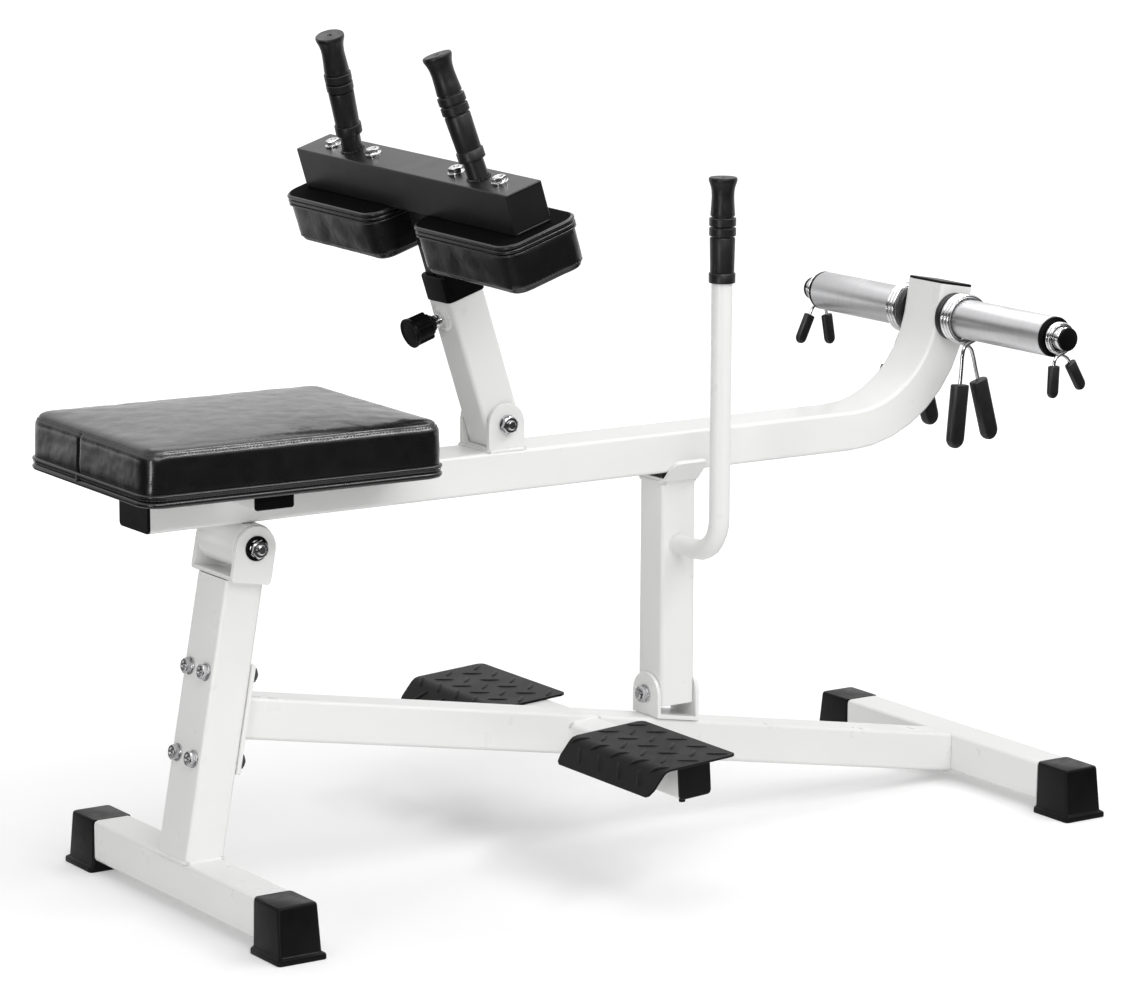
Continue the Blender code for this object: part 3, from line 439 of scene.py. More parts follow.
def refined(node, finish, edge, limit=50, segments=2, rounded=None):
    """Copy of a solid with its edges broken and its flats kept flat; rounded is (radius, edges)."""
    obj = bpy.data.objects.new(node + "_finished", frame["nodes"][node].data.copy())
    bpy.context.scene.collection.objects.link(obj)
    with editing(obj, "VERT", True):
        bpy.ops.mesh.remove_doubles(threshold=0.02 * MM)
        bpy.ops.mesh.dissolve_limited(angle_limit=math.radians(0.5))
    if rounded is not None:
        radius, edges = rounded
        bevelled(obj, radius, 4, edges)
    modify(obj, "BEVEL", width=edge, segments=segments, limit_method="ANGLE",
           angle_limit=math.radians(limit))
    smooth(obj, limit)
    modify(obj, "WEIGHTED_NORMAL", keep_sharp=True)
    return dressed(obj, finish, BODY_OF[node], node)


# Materials

FINISHES = {}


class Nodes:
    """The shader nodes of a material or a world."""

    def __init__(self, tree):
        self.tree = tree

    def add(self, kind, **values):
        node = self.tree.nodes.new(kind)
        for name, value in values.items():
            setattr(node, name, value)
        return node

    def set(self, node, socket, value):
        """Sets a socket by name, or feeds it."""
        found = next(s for s in node.inputs if s.enabled and s.name.lower() == socket.lower())
        if isinstance(value, bpy.types.NodeSocket):
            self.tree.links.new(value, found)
        else:
            found.default_value = value

    def spread(self, value, low, high, start=0.3, end=0.7, shape="LINEAR"):
        """Spreads a pattern's value over a range."""
        node = self.add("ShaderNodeMapRange", interpolation_type=shape)
        for socket, number in (("Value", value), ("From Min", start), ("From Max", end),
                               ("To Min", low), ("To Max", high)):
            self.set(node, socket, number)
        return node.outputs[0]

    def maths(self, operation, first, second):
        node = self.add("ShaderNodeMath", operation=operation)
        self.tree.links.new(first, node.inputs[0])
        self.tree.links.new(second, node.inputs[1])
        return node.outputs[0]

    def share_along(self, vector, way):
        """How far a vector goes a given way."""
        node = self.add("ShaderNodeVectorMath", operation="DOT_PRODUCT")
        self.tree.links.new(vector, node.inputs[0])
        node.inputs[1].default_value = way
        return node.outputs["Value"]


class Surface(Nodes):
    """A Principled material and the nodes that feed it."""

    def __init__(self, name, base, roughness, metallic=0.0, **sockets):
        self.material = bpy.data.materials.new(name)
        self.material.use_nodes = True
        super().__init__(self.material.node_tree)
        self.shader = self.tree.nodes["Principled BSDF"]
        self.base = base
        self.set(self.shader, "Base Color", (*base, 1))
        self.set(self.shader, "Roughness", roughness)
        self.set(self.shader, "Metallic", metallic)
        for socket, value in sockets.items():
            self.set(self.shader, socket.replace("_", " ").capitalize(), value)
        self.coordinates = self.add("ShaderNodeTexCoord").outputs["Object"]

    def pattern(self, kind, scale, stretch=(1, 1, 1), **inputs):
        """Noise or cells at a scale per metre, stretched along the axes."""
        mapping = self.add("ShaderNodeMapping")
        self.set(mapping, "Vector", self.coordinates)
        self.set(mapping, "Scale", stretch)
        node = self.add(kind)
        self.set(node, "Vector", mapping.outputs[0])
        self.set(node, "Scale", scale)
        for socket, value in inputs.items():
            self.set(node, socket, value)
        return node.outputs["Distance"] if kind == "ShaderNodeTexVoronoi" else node.outputs[0]

    def noise(self, scale, stretch=(1, 1, 1), detail=3.0, rough=0.5):
        return self.pattern("ShaderNodeTexNoise", scale, stretch, Detail=detail, Roughness=rough)

    def blend(self, amount, first, second):
        """Colour between two, by a value."""
        node = self.add("ShaderNodeMix", data_type="RGBA")
        self.tree.links.new(amount, node.inputs[0])
        node.inputs[6].default_value = (*first, 1)
        node.inputs[7].default_value = (*second, 1)
        return node.outputs[2]

    def shades(self, value, depth):
        """Lets the base colour vary by a share either way."""
        dark = [c * (1 - depth) for c in self.base]
        light = [min(c * (1 + depth), 1) for c in self.base]
        self.set(self.shader, "Base Color", self.blend(value, dark, light))

    def polish(self, value, low, high):
        """Lets the roughness vary over a range."""
        self.set(self.shader, "Roughness", self.spread(value, low, high))

    def bumps(self, *layers):
        """Stacks bump layers of (value, strength, height in metres)."""
        normal = None
        for value, strength, height in layers:
            node = self.add("ShaderNodeBump")
            self.set(node, "Strength", strength)
            self.set(node, "Distance", height)
            self.set(node, "Height", value)
            if normal is not None:
                self.set(node, "Normal", normal)
            normal = node.outputs[0]
        self.set(self.shader, "Normal", normal)
        return normal

    def keep(self, name, slot):
        FINISHES[name] = (self.material, slot)


def powder_coat(name, slot, base, roughness, grain, peel, depth, shine=0.5):
    """Sprayed coat with orange peel and faint handling marks."""
    coat = Surface(name, base, roughness, coat_weight=0.15 * shine, coat_roughness=0.12,
                   specular_ior_level=shine)
    clouds = coat.noise(9, detail=4)
    coat.shades(coat.spread(clouds, 0, 1), depth)
    coat.polish(coat.noise(25, detail=3), roughness - 0.03, roughness + 0.04)
    coat.bumps((coat.noise(grain, detail=1), peel, 0.2 * MM),
               (coat.noise(grain * 4), peel / 3, 0.06 * MM))
    coat.keep(name, slot)


def leatherette(base):
    """Embossed vinyl: pebbled cells, fine pores and soft creases."""
    hide = Surface("black_leather", base, 0.3, coat_weight=0.5, coat_roughness=0.1)
    hide.shades(hide.spread(hide.noise(14, detail=5), 0, 1), 0.3)
    cells = hide.pattern("ShaderNodeTexVoronoi", 1100)
    hide.polish(hide.noise(60, detail=6), 0.26, 0.36)
    grain = hide.bumps((hide.noise(45, detail=4), 0.06, 0.8 * MM),
                       (hide.noise(650), 0.10, 0.2 * MM),
                       (hide.spread(cells, 0, 1, 0, 0.6), 0.14, 0.12 * MM))
    hide.set(hide.shader, "Coat Normal", grain)
    hide.keep("leather", "black_leather")


def moulded(name, slot, base, roughness, grain, shine):
    """Moulded plastic or rubber with a fine spark texture and worn, greyer patches."""
    skin = Surface(name, base, roughness, specular_ior_level=shine)
    skin.shades(skin.spread(skin.noise(30, detail=6), 0, 1), 0.35)
    skin.polish(skin.noise(90, detail=4), roughness - 0.06, roughness + 0.06)
    skin.bumps((skin.noise(grain, detail=4), 0.16, 0.12 * MM), (skin.noise(120), 0.05, 0.4 * MM))
    skin.keep(name, slot)


def brushed(base):
    """Sleeves polished on a lathe, so the lines run round the bar."""
    steel = Surface("brushed_steel", base, 0.36, 1.0, anisotropic=0.5)
    lines = steel.noise(1, (25, 2200, 25), detail=3)
    bands = steel.noise(1, (10, 260, 10), detail=2)
    steel.shades(steel.spread(bands, 0, 1), 0.03)
    steel.polish(lines, 0.32, 0.44)
    steel.bumps((lines, 0.06, 0.04 * MM))
    steel.keep("steel", "brushed_steel")


def plated(name, slot, base, roughness):
    """Bright plating with faint haze and polishing marks."""
    plate = Surface(name, base, roughness, 1.0)
    plate.shades(plate.spread(plate.noise(70, detail=5), 0, 1), 0.06)
    plate.polish(plate.noise(120, detail=3), roughness * 0.8, roughness * 1.3)
    plate.bumps((plate.noise(250), 0.02, 0.05 * MM))
    plate.keep(name, slot)


def twisted_thread(base):
    thread = Surface("thread", base, 0.5, sheen_weight=0.3)
    thread.shades(thread.noise(1500), 0.3)
    thread.bumps((thread.noise(2500), 0.4, 0.1 * MM))
    thread.keep("thread", "black_leather")


def lining_cloth(base):
    """Felted cloth under the seat and pads."""
    cloth = Surface("lining", base, 0.9, specular_ior_level=0.05)
    cloth.shades(cloth.spread(cloth.noise(900, detail=6), 0, 1), 0.5)
    cloth.bumps((cloth.noise(1400, detail=5), 0.4, 0.3 * MM))
    cloth.keep("lining", "black_leather")


class CALF_OT_finishes(bpy.types.Operator):
    """Makes the materials of the machine"""
    bl_idname = "calf.finishes"
    bl_label = "Finishes"

    def execute(self, context):
        c = context.scene.calf_colours
        powder_coat("white_paint", "white_paint", c.white_paint, 0.30, 300, 0.03, 0.008)
        powder_coat("black_paint", "black_paint", c.black_paint, 0.36, 900, 0.12, 0.25, 0.62)
        powder_coat("tread_paint", "tread_paint", c.tread_paint, 0.42, 700, 0.16, 0.3, 0.13)
        moulded("plastic", "black_plastic", c.plastic, 0.36, 1500, 0.15)
        moulded("rubber", "black_rubber", c.rubber, 0.40, 1200, 0.55)
        leatherette(c.leather)
        brushed(c.steel)
        plated("chrome", "chrome", c.chrome, 0.1)
        plated("zinc", "chrome", c.zinc, 0.13)
        twisted_thread(c.thread)
        lining_cloth(c.leather)
        return {"FINISHED"}


# Steelwork

PAINTED = ("front_crossbar", "rear_crossbar", "front_post", "base_beam", "footrest_tube_near",
           "footrest_tube_far", "lever_arm", "thigh_post", "support_post", "seat_crossmember",
           "thigh_clevis", "support_clevis", "saddle", "pivot_barrel", "release_handle")


class CALF_OT_steelwork(bpy.types.Operator):
    """Breaks the edges of the painted tubes, brackets and the cross beam"""
    bl_idname = "calf.steelwork"
    bl_label = "Steelwork"

    def execute(self, context):
        edge = context.scene.calf_steelwork.edge
        for node in PAINTED:
            refined(node, "white_paint", edge)
        bends = (4.5 * MM, lambda a, b: abs(a.y - b.y) > 90 * MM)
        refined("pivot_clevis", "white_paint", edge, rounded=bends)
        refined("thigh_slider", "black_paint", edge)
        self.cross_beam()
        return {"FINISHED"}

    def cross_beam(self):
        """Square tube with welded end plates, under the handle rods."""
        clear_selection()
        bpy.ops.mesh.primitive_cube_add(size=1)
        beam = sized("cross_beam_tube", TUBE, 2 * BEAM_HALF, TUBE)
        modify(beam, "BEVEL", width=1.6 * MM, segments=3, limit_method="ANGLE")
        mark(beam, "FACE", lambda at, normal: abs(normal.y) > 0.99)
        with editing(beam):
            bpy.ops.mesh.inset(thickness=0.9 * MM)
            bpy.ops.mesh.inset(thickness=0.6 * MM, depth=-0.5 * MM)
        put(beam, HEAD @ Matrix.Translation(BEAM_MID))
        smooth(beam, 30)
        modify(beam, "WEIGHTED_NORMAL", keep_sharp=True)
        dressed(beam, "black_paint", "slider", "cross_beam")


# Radians of a bead's ripple from one point of its outline to the next
RIPPLE_STEP = 2.4


def bead(name, body, finish, outline, place, steel):
    """Rippled weld bead along a closed outline of (half x, half y, corner)."""
    curve = loop_curve(name, *outline, cuts=11, place=place)
    points = curve.data.splines[0].points
    for number, point in enumerate(points):
        point.radius = 1 + steel.ripple * math.sin(number * RIPPLE_STEP)
    curve.data.bevel_depth = steel.weld
    curve.data.bevel_resolution = 2
    choose(curve)
    bpy.ops.object.convert(target="MESH")
    return dressed(named(name), finish, body, degrees=60)


def round_outline(radius):
    return radius, radius, radius - 0.1 * MM


class CALF_OT_welds(bpy.types.Operator):
    """Lays the weld beads between the tubes and brackets"""
    bl_idname = "calf.welds"
    bl_label = "Welds"

    def execute(self, context):
        steel = context.scene.calf_steelwork
        corner = 5 * MM
        half = TUBE / 2
        foot_half = half / math.cos(LEAN)
        post_foot = Vector((POST.translation.x + foot_half, 0, CROSS_HIGH.z))
        clevis_foot = Vector((HINGE.x, 0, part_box("thigh_clevis")[0].z))
        prop_top = Vector((PROP_PIVOT.x, 0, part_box("support_post")[1].z))
        handle_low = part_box("release_handle")[0].z
        handle = Vector((PROP_PIVOT.x, -half, handle_low + HANDLE_R))
        pin = THIGH @ Vector((-TUBE / 2 - 0.6 * MM, 0, PIN_U))
        beads = [
            ("weld_post_foot", "base", (foot_half, ARM_W / 2, corner), facing(post_foot, Z)),
            ("weld_thigh_clevis", "lever", (half, CLEVIS_HALF, 1 * MM), facing(clevis_foot, Z)),
            ("weld_saddle", "support", (half, half, corner), facing(prop_top, Z)),
            ("weld_handle", "support", round_outline(HANDLE_R + 0.2 * MM), facing(handle, -Y, X)),
            ("weld_pull_pin", "thigh", round_outline(14 * MM), facing(pin, -(THIGH.to_3x3() @ X))),
        ]
        for side_name, side in SIDES:
            stub = TREAD @ Vector((0, side * half, -STUB / 2))
            across = UP_TREAD.cross(Y * side)
            beads.append((f"weld_stub_{side_name}", "base", (STUB / 2, STUB / 2, corner),
                          facing(stub, Y * side, across)))
        for name, body, outline, place in beads:
            bead(name, body, "white_paint", outline, place, steel)
        for side_name, side in SIDES:
            foot = HEAD @ Vector((0, side * GRIP_BASE_Y, BEAM_U + TUBE))
            bead(f"weld_handle_rod_{side_name}", "slider", "black_paint", round_outline(ROD_R),
                 facing(foot, HEAD.to_3x3() @ Z), steel)
        return {"FINISHED"}


# Plastic caps, plugs and collar

# Height, half width over the tube's, and length over the cap's, in millimetres
FOOT_ROWS = ((0, 5.9, 10.9), (0.7, 6.5, 11.5), (5.0, 6.5, 11.5), (6.4, 6.0, 11.0), (7.3, 4.8, 9.8),
             (7.9, 3.2, 8.2), (9.2, 2.2, 7.2), (60.5, 0.6, 1.2), (62.6, 0.2, 0.7),
             (63.9, -0.7, -0.2), (64.5, -2.0, -1.5))
CAP_LENGTH = 56 * MM
PLUGS = ("arm_front_plug", "arm_top_plug", "crossmember_cap_near", "crossmember_cap_far",
         "footrest_cap_near", "footrest_cap_far", "thigh_collar")


class CALF_OT_end_caps(bpy.types.Operator):
    """Moulds the foot caps, end plugs and the thigh post's collar"""
    bl_idname = "calf.end_caps"
    bl_label = "End caps"

    def execute(self, context):
        half = CAP_LENGTH / 2
        rows = [(z * MM, TUBE / 2 + wide * MM, half + out * MM / 2, half + out * MM / 2)
                for z, wide, out in FOOT_ROWS]
        mesh = set_aside(stacked("foot_cap", rows, 4.5 * MM), 25)
        for end in ("front", "rear"):
            bar_low, bar_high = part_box(f"{end}_crossbar")
            for side_name, side in SIDES:
                turn = Matrix.Rotation(0 if side > 0 else math.pi, 4, "Z")
                at = Vector(((bar_low.x + bar_high.x) / 2, side * (bar_high.y + 0.3 * MM), 0))
                node = f"foot_cap_{end}_{side_name}"
                cap = copy_at(mesh, f"{node}_moulded", Matrix.Translation(at) @ turn)
                dressed(cap, "plastic", "base", node)
        for node in PLUGS:
            refined(node, "plastic", 1.1 * MM, 40, 3)
        return {"FINISHED"}


# Fasteners, modelled for a half width across flats of one

HEX_TALL = 0.76


def hex_model(name, dished):
    """Hexagon with chamfered corners, dished on top if it is a bolt's head."""
    clear_selection()
    height = HEX_TALL
    bpy.ops.mesh.primitive_cylinder_add(vertices=6, radius=1 / math.cos(math.pi / 6), depth=height,
                                        location=(0, 0, height / 2), rotation=(0, 0, math.pi / 6))
    obj = named(name)
    bpy.ops.object.transform_apply()
    corner = 1.17
    top = [(height - 0.12, corner), (height, 0.93)]
    if dished:
        top += [(height, 0.70), (height - 0.24, 0.58), (height - 0.24, 0.3),
                (height - 0.12, 0.22)]
    rows = [(-0.1, corner if dished else 0.9)] + ([] if dished else [(0.1, corner)]) + top
    tool = turned("chamfer", rows, sides=48)
    modify(obj, "BOOLEAN", operation="INTERSECT", object=tool, solver="EXACT")
    bpy.data.objects.remove(tool)
    modify(obj, "BEVEL", width=0.03, segments=2, limit_method="ANGLE",
           angle_limit=math.radians(30))
    return set_aside(obj, 25)


def washer_model():
    rows = [(0, 0.5), (0, 0.93), (0.12, 1.0), (0.88, 1.0), (1, 0.93), (1, 0.5)]
    return set_aside(turned("washer", rows, bored=True), 25)


def thread_model():
    """End of a bolt: five grooves and a chamfered tip, one long and one in radius."""
    root, pitch = 0.86, 0.17
    rows = [(0, root)]
    for turn in range(5):
        rows += [(0.04 + turn * pitch, root), (0.09 + turn * pitch, 1.0),
                 (0.13 + turn * pitch, 1.0), (0.18 + turn * pitch, root)]
    rows += [(0.93, root), (1.0, 0.72)]
    return set_aside(turned("thread", rows, sides=32), 25)


def fastener(name, models, body, start, end, sizes, *nodes, turn=0.0, finish="zinc", nut="zinc"):
    """Bolt from start, where its head is, to end, where its nut is, with washers."""
    radius, flats, head, rim, washer = sizes
    axis = (end - start).normalized()
    across = (X if abs(axis.x) < 0.5 else Z).cross(axis).normalized()
    spin = Matrix.Rotation(turn, 4, "Z")

    def at(origin, direction, wide, tall):
        side = across if direction.dot(axis) > 0 else -across
        place = axes(origin, direction.cross(side), -side, direction)
        return place @ spin @ Matrix.Diagonal((wide, wide, tall, 1))

    def part(kind, *where):
        return copy_at(models[kind], kind, at(*where))

    parts = [part("washer", start, -axis, rim, washer),
             part("head", start - axis * washer, -axis, flats, head / HEX_TALL)]
    if nut:
        out = end + axis * washer
        rear = [part("washer", end, axis, rim, washer),
                part("nut", out, axis, flats, head / HEX_TALL),
                part("thread", out + axis * head * 0.6, axis, radius, head * 0.8)]
        dressed(joined(rear, f"{name}_nut"), nut, body)
        shank = [(0, radius), ((end - start).length, radius)]
        parts.append(turned("shank", shank, start, axis, 24))
    dressed(joined(parts, name), finish, body, *nodes)


# Shank radius, half width across flats, head height, washer radius and washer thickness
POST_BOLT, PIVOT_BOLT, HINGE_BOLT, PAD_BOLT, BOARD_BOLT, STUB_BOLT = in_mm((
    (5, 8.3, 7, 10.5, 2), (6, 9.7, 8, 10.2, 2.6), (6, 9.5, 7, 11.4, 2.5), (4, 7.6, 5.6, 10.2, 2.2),
    (3, 5, 4, 8, 1.5), (2.5, 3.7, 3.4, 4.2, 1)))
PAD_BOLT_Y = (91 * MM, 182 * MM)
SEAT_BOLT_Y = 90 * MM
STUB_BOLT_AT = Vector((-14 * MM, 246 * MM, -STUB))
# How deep a bolt without a nut goes, and half the way between head and nut of the others
THREADED = 5 * MM
PIVOT_HALF = 48.6 * MM
PROP_HALF = 31 * MM
# Distance from the bracket and radius of the dark rings under the pivot bolt's washers
RING_ROWS = in_mm(((0, 9), (0, 14.6), (1.6, 14.6), (2.2, 14), (2.2, 11.6), (1.2, 11), (1.2, 9)))


class CALF_OT_fasteners(bpy.types.Operator):
    """Models the bolts, nuts and washers"""
    bl_idname = "calf.fasteners"
    bl_label = "Fasteners"

    def execute(self, context):
        models = {"head": hex_model("head", True), "nut": hex_model("nut", False),
                  "washer": washer_model(), "thread": thread_model()}
        across = POST.to_3x3() @ X
        for number in range(1, 5):
            node = f"post_bolt_{number}"
            at = middle(node)
            at -= across * (at - POST.translation).dot(across)
            # The nuts behind the post plate get black paint instead of the zinc of their bolts. This is painted
            # shade, standing in for the shadow they lie in behind the plate.
            fastener(f"{node}_plated", models, "base", at, at + across * (TUBE + PLATE_T),
                     POST_BOLT, node, turn=0.5 * number, nut="black_paint")
        for node, body, centre, way, sizes, turn in (
                ("pivot_bolt", "base", PIVOT, Y * PIVOT_HALF, PIVOT_BOLT, 0.3),
                ("thigh_bolt", "lever", HINGE, Y * CLEVIS_HALF, HINGE_BOLT, 0.2),
                ("support_bolt", "base", PROP_PIVOT, X * PROP_HALF, HINGE_BOLT, 0.4)):
            fastener(f"{node}_plated", models, body, centre + way, centre - way, sizes, node,
                     turn=turn)
        for side_name, side in SIDES:
            ring = turned(f"pivot_ring_{side_name}", RING_ROWS, PIVOT + Y * side * PIVOT_HALF,
                          Y * side, bored=True)
            dressed(ring, "plastic", "base", degrees=30)
            self.screws(models, side_name, side)
        for mesh in models.values():
            bpy.data.meshes.remove(mesh)
        return {"FINISHED"}

    def screws(self, models, side_name, side):
        """Bolts without a nut: through the cross beam, under the seat and under a footrest."""
        for number, y in enumerate(PAD_BOLT_Y, 1):
            top = HEAD @ Vector((0, side * y, BEAM_U + TUBE))
            fastener(f"pad_bolt_{side_name}_{number}", models, "slider", top,
                     top - HEAD.to_3x3() @ Z * THREADED, PAD_BOLT, turn=0.7 * number + side,
                     finish="chrome", nut=None)
        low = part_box("seat_crossmember")[0].z
        low = Vector((middle("seat_crossmember").x, side * SEAT_BOLT_Y, low))
        fastener(f"seat_bolt_{side_name}", models, "lever", low, low + Z * THREADED, BOARD_BOLT,
                 nut=None)
        stub = TREAD @ Vector((STUB_BOLT_AT.x, side * STUB_BOLT_AT.y, STUB_BOLT_AT.z))
        fastener(f"stub_bolt_{side_name}", models, "base", stub, stub + UP_TREAD * THREADED,
                 STUB_BOLT, finish="plastic", nut=None)


# Weight bar, sleeves and spring clips

# Distance from the middle of the machine and radius, in millimetres
BAR_ROWS = ((-257, 11.5), (-257, 13.7), (-256.2, 14.5), (256.2, 14.5), (257, 13.7), (257, 11.5))
WASHER_ROWS = ((35.3, 14.8), (35.3, 29), (36.1, 29.9), (36.9, 30), (41.6, 30), (42.6, 29.7),
               (43.3, 28.8), (43.3, 27), (42.6, 26.2), (42.6, 25.4), (43.2, 24.8), (43.2, 21.7),
               (58, 21.7), (58, 14.8))
SLEEVE_ROWS = ((43.6, 22), (43.6, 24.2), (44.4, 25), (230.9, 25), (231.7, 24.6), (232, 24),
               (232, 22))
BUSH_ROWS = ((217, 14.8), (217, 21.7), (232.3, 21.7), (232.3, 24.6), (232.9, 25), (235.2, 25),
             (236, 24.6), (236.3, 23.6), (236.3, 17.6), (235.5, 16.8), (235.5, 14.8))
PLUG_ROWS = ((242, 11), (257.3, 11), (257.3, 14.1), (257.9, 14.5), (260.2, 14.5), (261.1, 14.1),
             (261.5, 13.2), (261.5, 2))


class CALF_OT_weight_end(bpy.types.Operator):
    """Turns the weight bar, its sleeves, washers, bushes and plugs"""
    bl_idname = "calf.weight_end"
    bl_label = "Weight bar"

    def execute(self, context):
        def turn(name, rows, side, finish, node, bored=True):
            obj = turned(name, in_mm(rows), BAR, Y * side, 64 if bored else 48, bored)
            dressed(obj, finish, "lever", node, degrees=30)

        turn("weight_bar_turned", BAR_ROWS, FAR, "chrome", "weight_bar")
        for side_name, side in SIDES:
            for node, rows, finish in (("sleeve_washer", WASHER_ROWS, "rubber"),
                                       ("adapter_sleeve", SLEEVE_ROWS, "steel"),
                                       ("sleeve_bush", BUSH_ROWS, "plastic")):
                node = f"{node}_{side_name}"
                turn(f"{node}_turned", rows, side, finish, node)
            node = f"bar_plug_{side_name}"
            turn(f"{node}_moulded", PLUG_ROWS, side, "plastic", node, False)
        return {"FINISHED"}


# Wire radius, turns, coil start, inner radius and grip (half thick, half wide, long), in
# millimetres, of each clip
SLEEVE_CLIP = (2.7, 3, 46.4, 25.0, (6.8, 12.8, 81.0))
BAR_CLIP = (2.2, 2, 237.3, 14.5, (4.5, 8.2, 40.0))
# Play of the coils in millimetres, and knots of the wire in a turn
CLIP_GAP = 0.3
CLIP_KNOTS = 16
# How each clip's outer and inner grip lie, (sideways, degrees from upright), and how far below
# the bar
CLIP_LIES = {("sleeve_clip", NEAR): ((11, 5), (32, 16), 82),
             ("sleeve_clip", FAR): ((20, 20), (14, 16), 76),
             ("bar_clip", NEAR): ((12, 2), (21, 31), 33),
             ("bar_clip", FAR): ((12.5, 25), (8, 10), 33)}


class CALF_OT_spring_clips(bpy.types.Operator):
    """Winds the spring clips and moulds their grips"""
    bl_idname = "calf.spring_clips"
    bl_label = "Spring clips"

    def execute(self, context):
        for kind, sizes in (("sleeve_clip", SLEEVE_CLIP), ("bar_clip", BAR_CLIP)):
            for side_name, side in SIDES:
                self.clip(f"{kind}_{side_name}", side, sizes, CLIP_LIES[kind, side])
        return {"FINISHED"}

    def bend(self, top, down, angle, radius, y, way, thickness):
        """Points where a leg bends out of the tangent at the coil's end, from the leg up."""
        end = Vector((radius * math.cos(angle), y, radius * math.sin(angle)))
        tangent = Vector((-math.sin(angle) * way, 0, math.cos(angle) * way))
        if tangent.x * way < 0:
            tangent.negate()
        gap = top - end
        along = (gap.x * down.z - gap.z * down.x) / (tangent.x * down.z - tangent.z * down.x)
        corner = end + tangent * along
        reach = 3.2 * thickness
        lower, upper = corner + down * reach, corner - tangent * reach
        return [(top + lower) / 2, lower, corner * 0.5 + (lower + upper) * 0.25, upper]

    def clip(self, node, side, sizes, lies):
        thickness, turns, start, inner, grip = sizes
        *leans, reach = lies
        radius = (inner + CLIP_GAP + thickness) / math.cos(math.pi / 12)
        opening = math.radians(22)
        inner_y = start + thickness
        outer_y = inner_y + (2 * thickness + CLIP_GAP) * turns
        place = Matrix.Translation(BAR) @ Matrix.Diagonal((MM, side * MM, MM, 1))

        legs = []
        for (sideways, degrees), way in zip(leans, (-1, 1)):
            lean = math.radians(degrees) * way
            legs.append((Vector((sideways * way, outer_y, -reach)),
                         Vector((math.sin(lean), 0, -math.cos(lean)))))
        (first_top, first_down), (last_top, last_down) = legs
        inside = 12
        begin = opening - math.pi / 2
        points = [first_top + first_down * inside, first_top]
        points += self.bend(first_top, first_down, begin, radius, outer_y, -1, thickness)
        sweep = 2 * (math.pi * turns - opening)
        count = CLIP_KNOTS * turns
        for i in range(count + 1):
            a = begin + sweep * i / count
            points.append(Vector((radius * math.cos(a), outer_y - (outer_y - inner_y) * i / count,
                                  radius * math.sin(a))))
        last_top.y = inner_y
        bend = self.bend(last_top, last_down, -math.pi - begin, radius, inner_y, 1, thickness)
        points += [*reversed(bend), last_top, last_top + last_down * inside]
        spring = closed_up(put(wire(f"{node}_wire", points, thickness), place))
        body = f"{node}_body"
        dressed(spring, "chrome", body, node, degrees=60)

        thick, wide, long = grip
        rows = [(0, thick - 1.6, wide - 1.6, 0), (0.5, thick - 0.6, wide - 0.6, 0),
                (1.6, thick, wide, 0), (long - wide, thick * 0.97, wide, 0)]
        for step in range(1, 7):
            a = math.radians(14 * step)
            rows.append((long - wide + wide * math.sin(a), thick * (0.35 + 0.62 * math.cos(a)),
                         wide * math.cos(a), 0))
        model = set_aside(stacked(f"{node}_grip", rows, thick * 0.75))
        for number, (top, down) in enumerate(legs, 1):
            lie = axes(top, Y, down.cross(Y), down)
            obj = closed_up(copy_at(model, f"{node}_grip_{number}", place @ lie))
            dressed(obj, "rubber", body, degrees=40)
        bpy.data.meshes.remove(model)


# Footrests

# Half length, half width and height of a lug; pitch of each of the two lattices
LUG = (13.5 * MM, 3.2 * MM, 1.3 * MM)
LUG_PITCH = 41.6 * MM
LUG_START = 93.5 * MM
LUG_ANGLE = math.radians(45)
# Where the sheet's bend starts, the bend's radius on top and its angle
TREAD_BEND = (-49 * MM, 15.4 * MM, math.radians(47))
# Top of the sheet over the stub and its inner edge
TREAD_TOP = 3.3 * MM
TREAD_IN = 79 * MM
# How much the plate is longer at the back and at its inner edge than its solid, and beyond
# which places it is moved for that
TREAD_MORE = 7 * MM
TREAD_BACK = 25 * MM
TREAD_INNER = 100 * MM
TREAD_OUT = {NEAR: Vector(), FAR: Vector((0, 7 * MM, 0))}


def on_sheet(flat, side):
    """Point of a footrest's sheet that was flat before its front was bent down."""
    start, radius, angle = TREAD_BEND
    beyond = start - flat.x
    if beyond <= 0:
        return Vector((flat.x, side * flat.y, flat.z + TREAD_TOP))
    turn = min(beyond / radius, angle)
    rest = beyond - turn * radius
    out = radius + flat.z
    return Vector((start - out * math.sin(turn) - rest * math.cos(turn), side * flat.y,
                   TREAD_TOP - radius + out * math.cos(turn) - rest * math.sin(turn)))


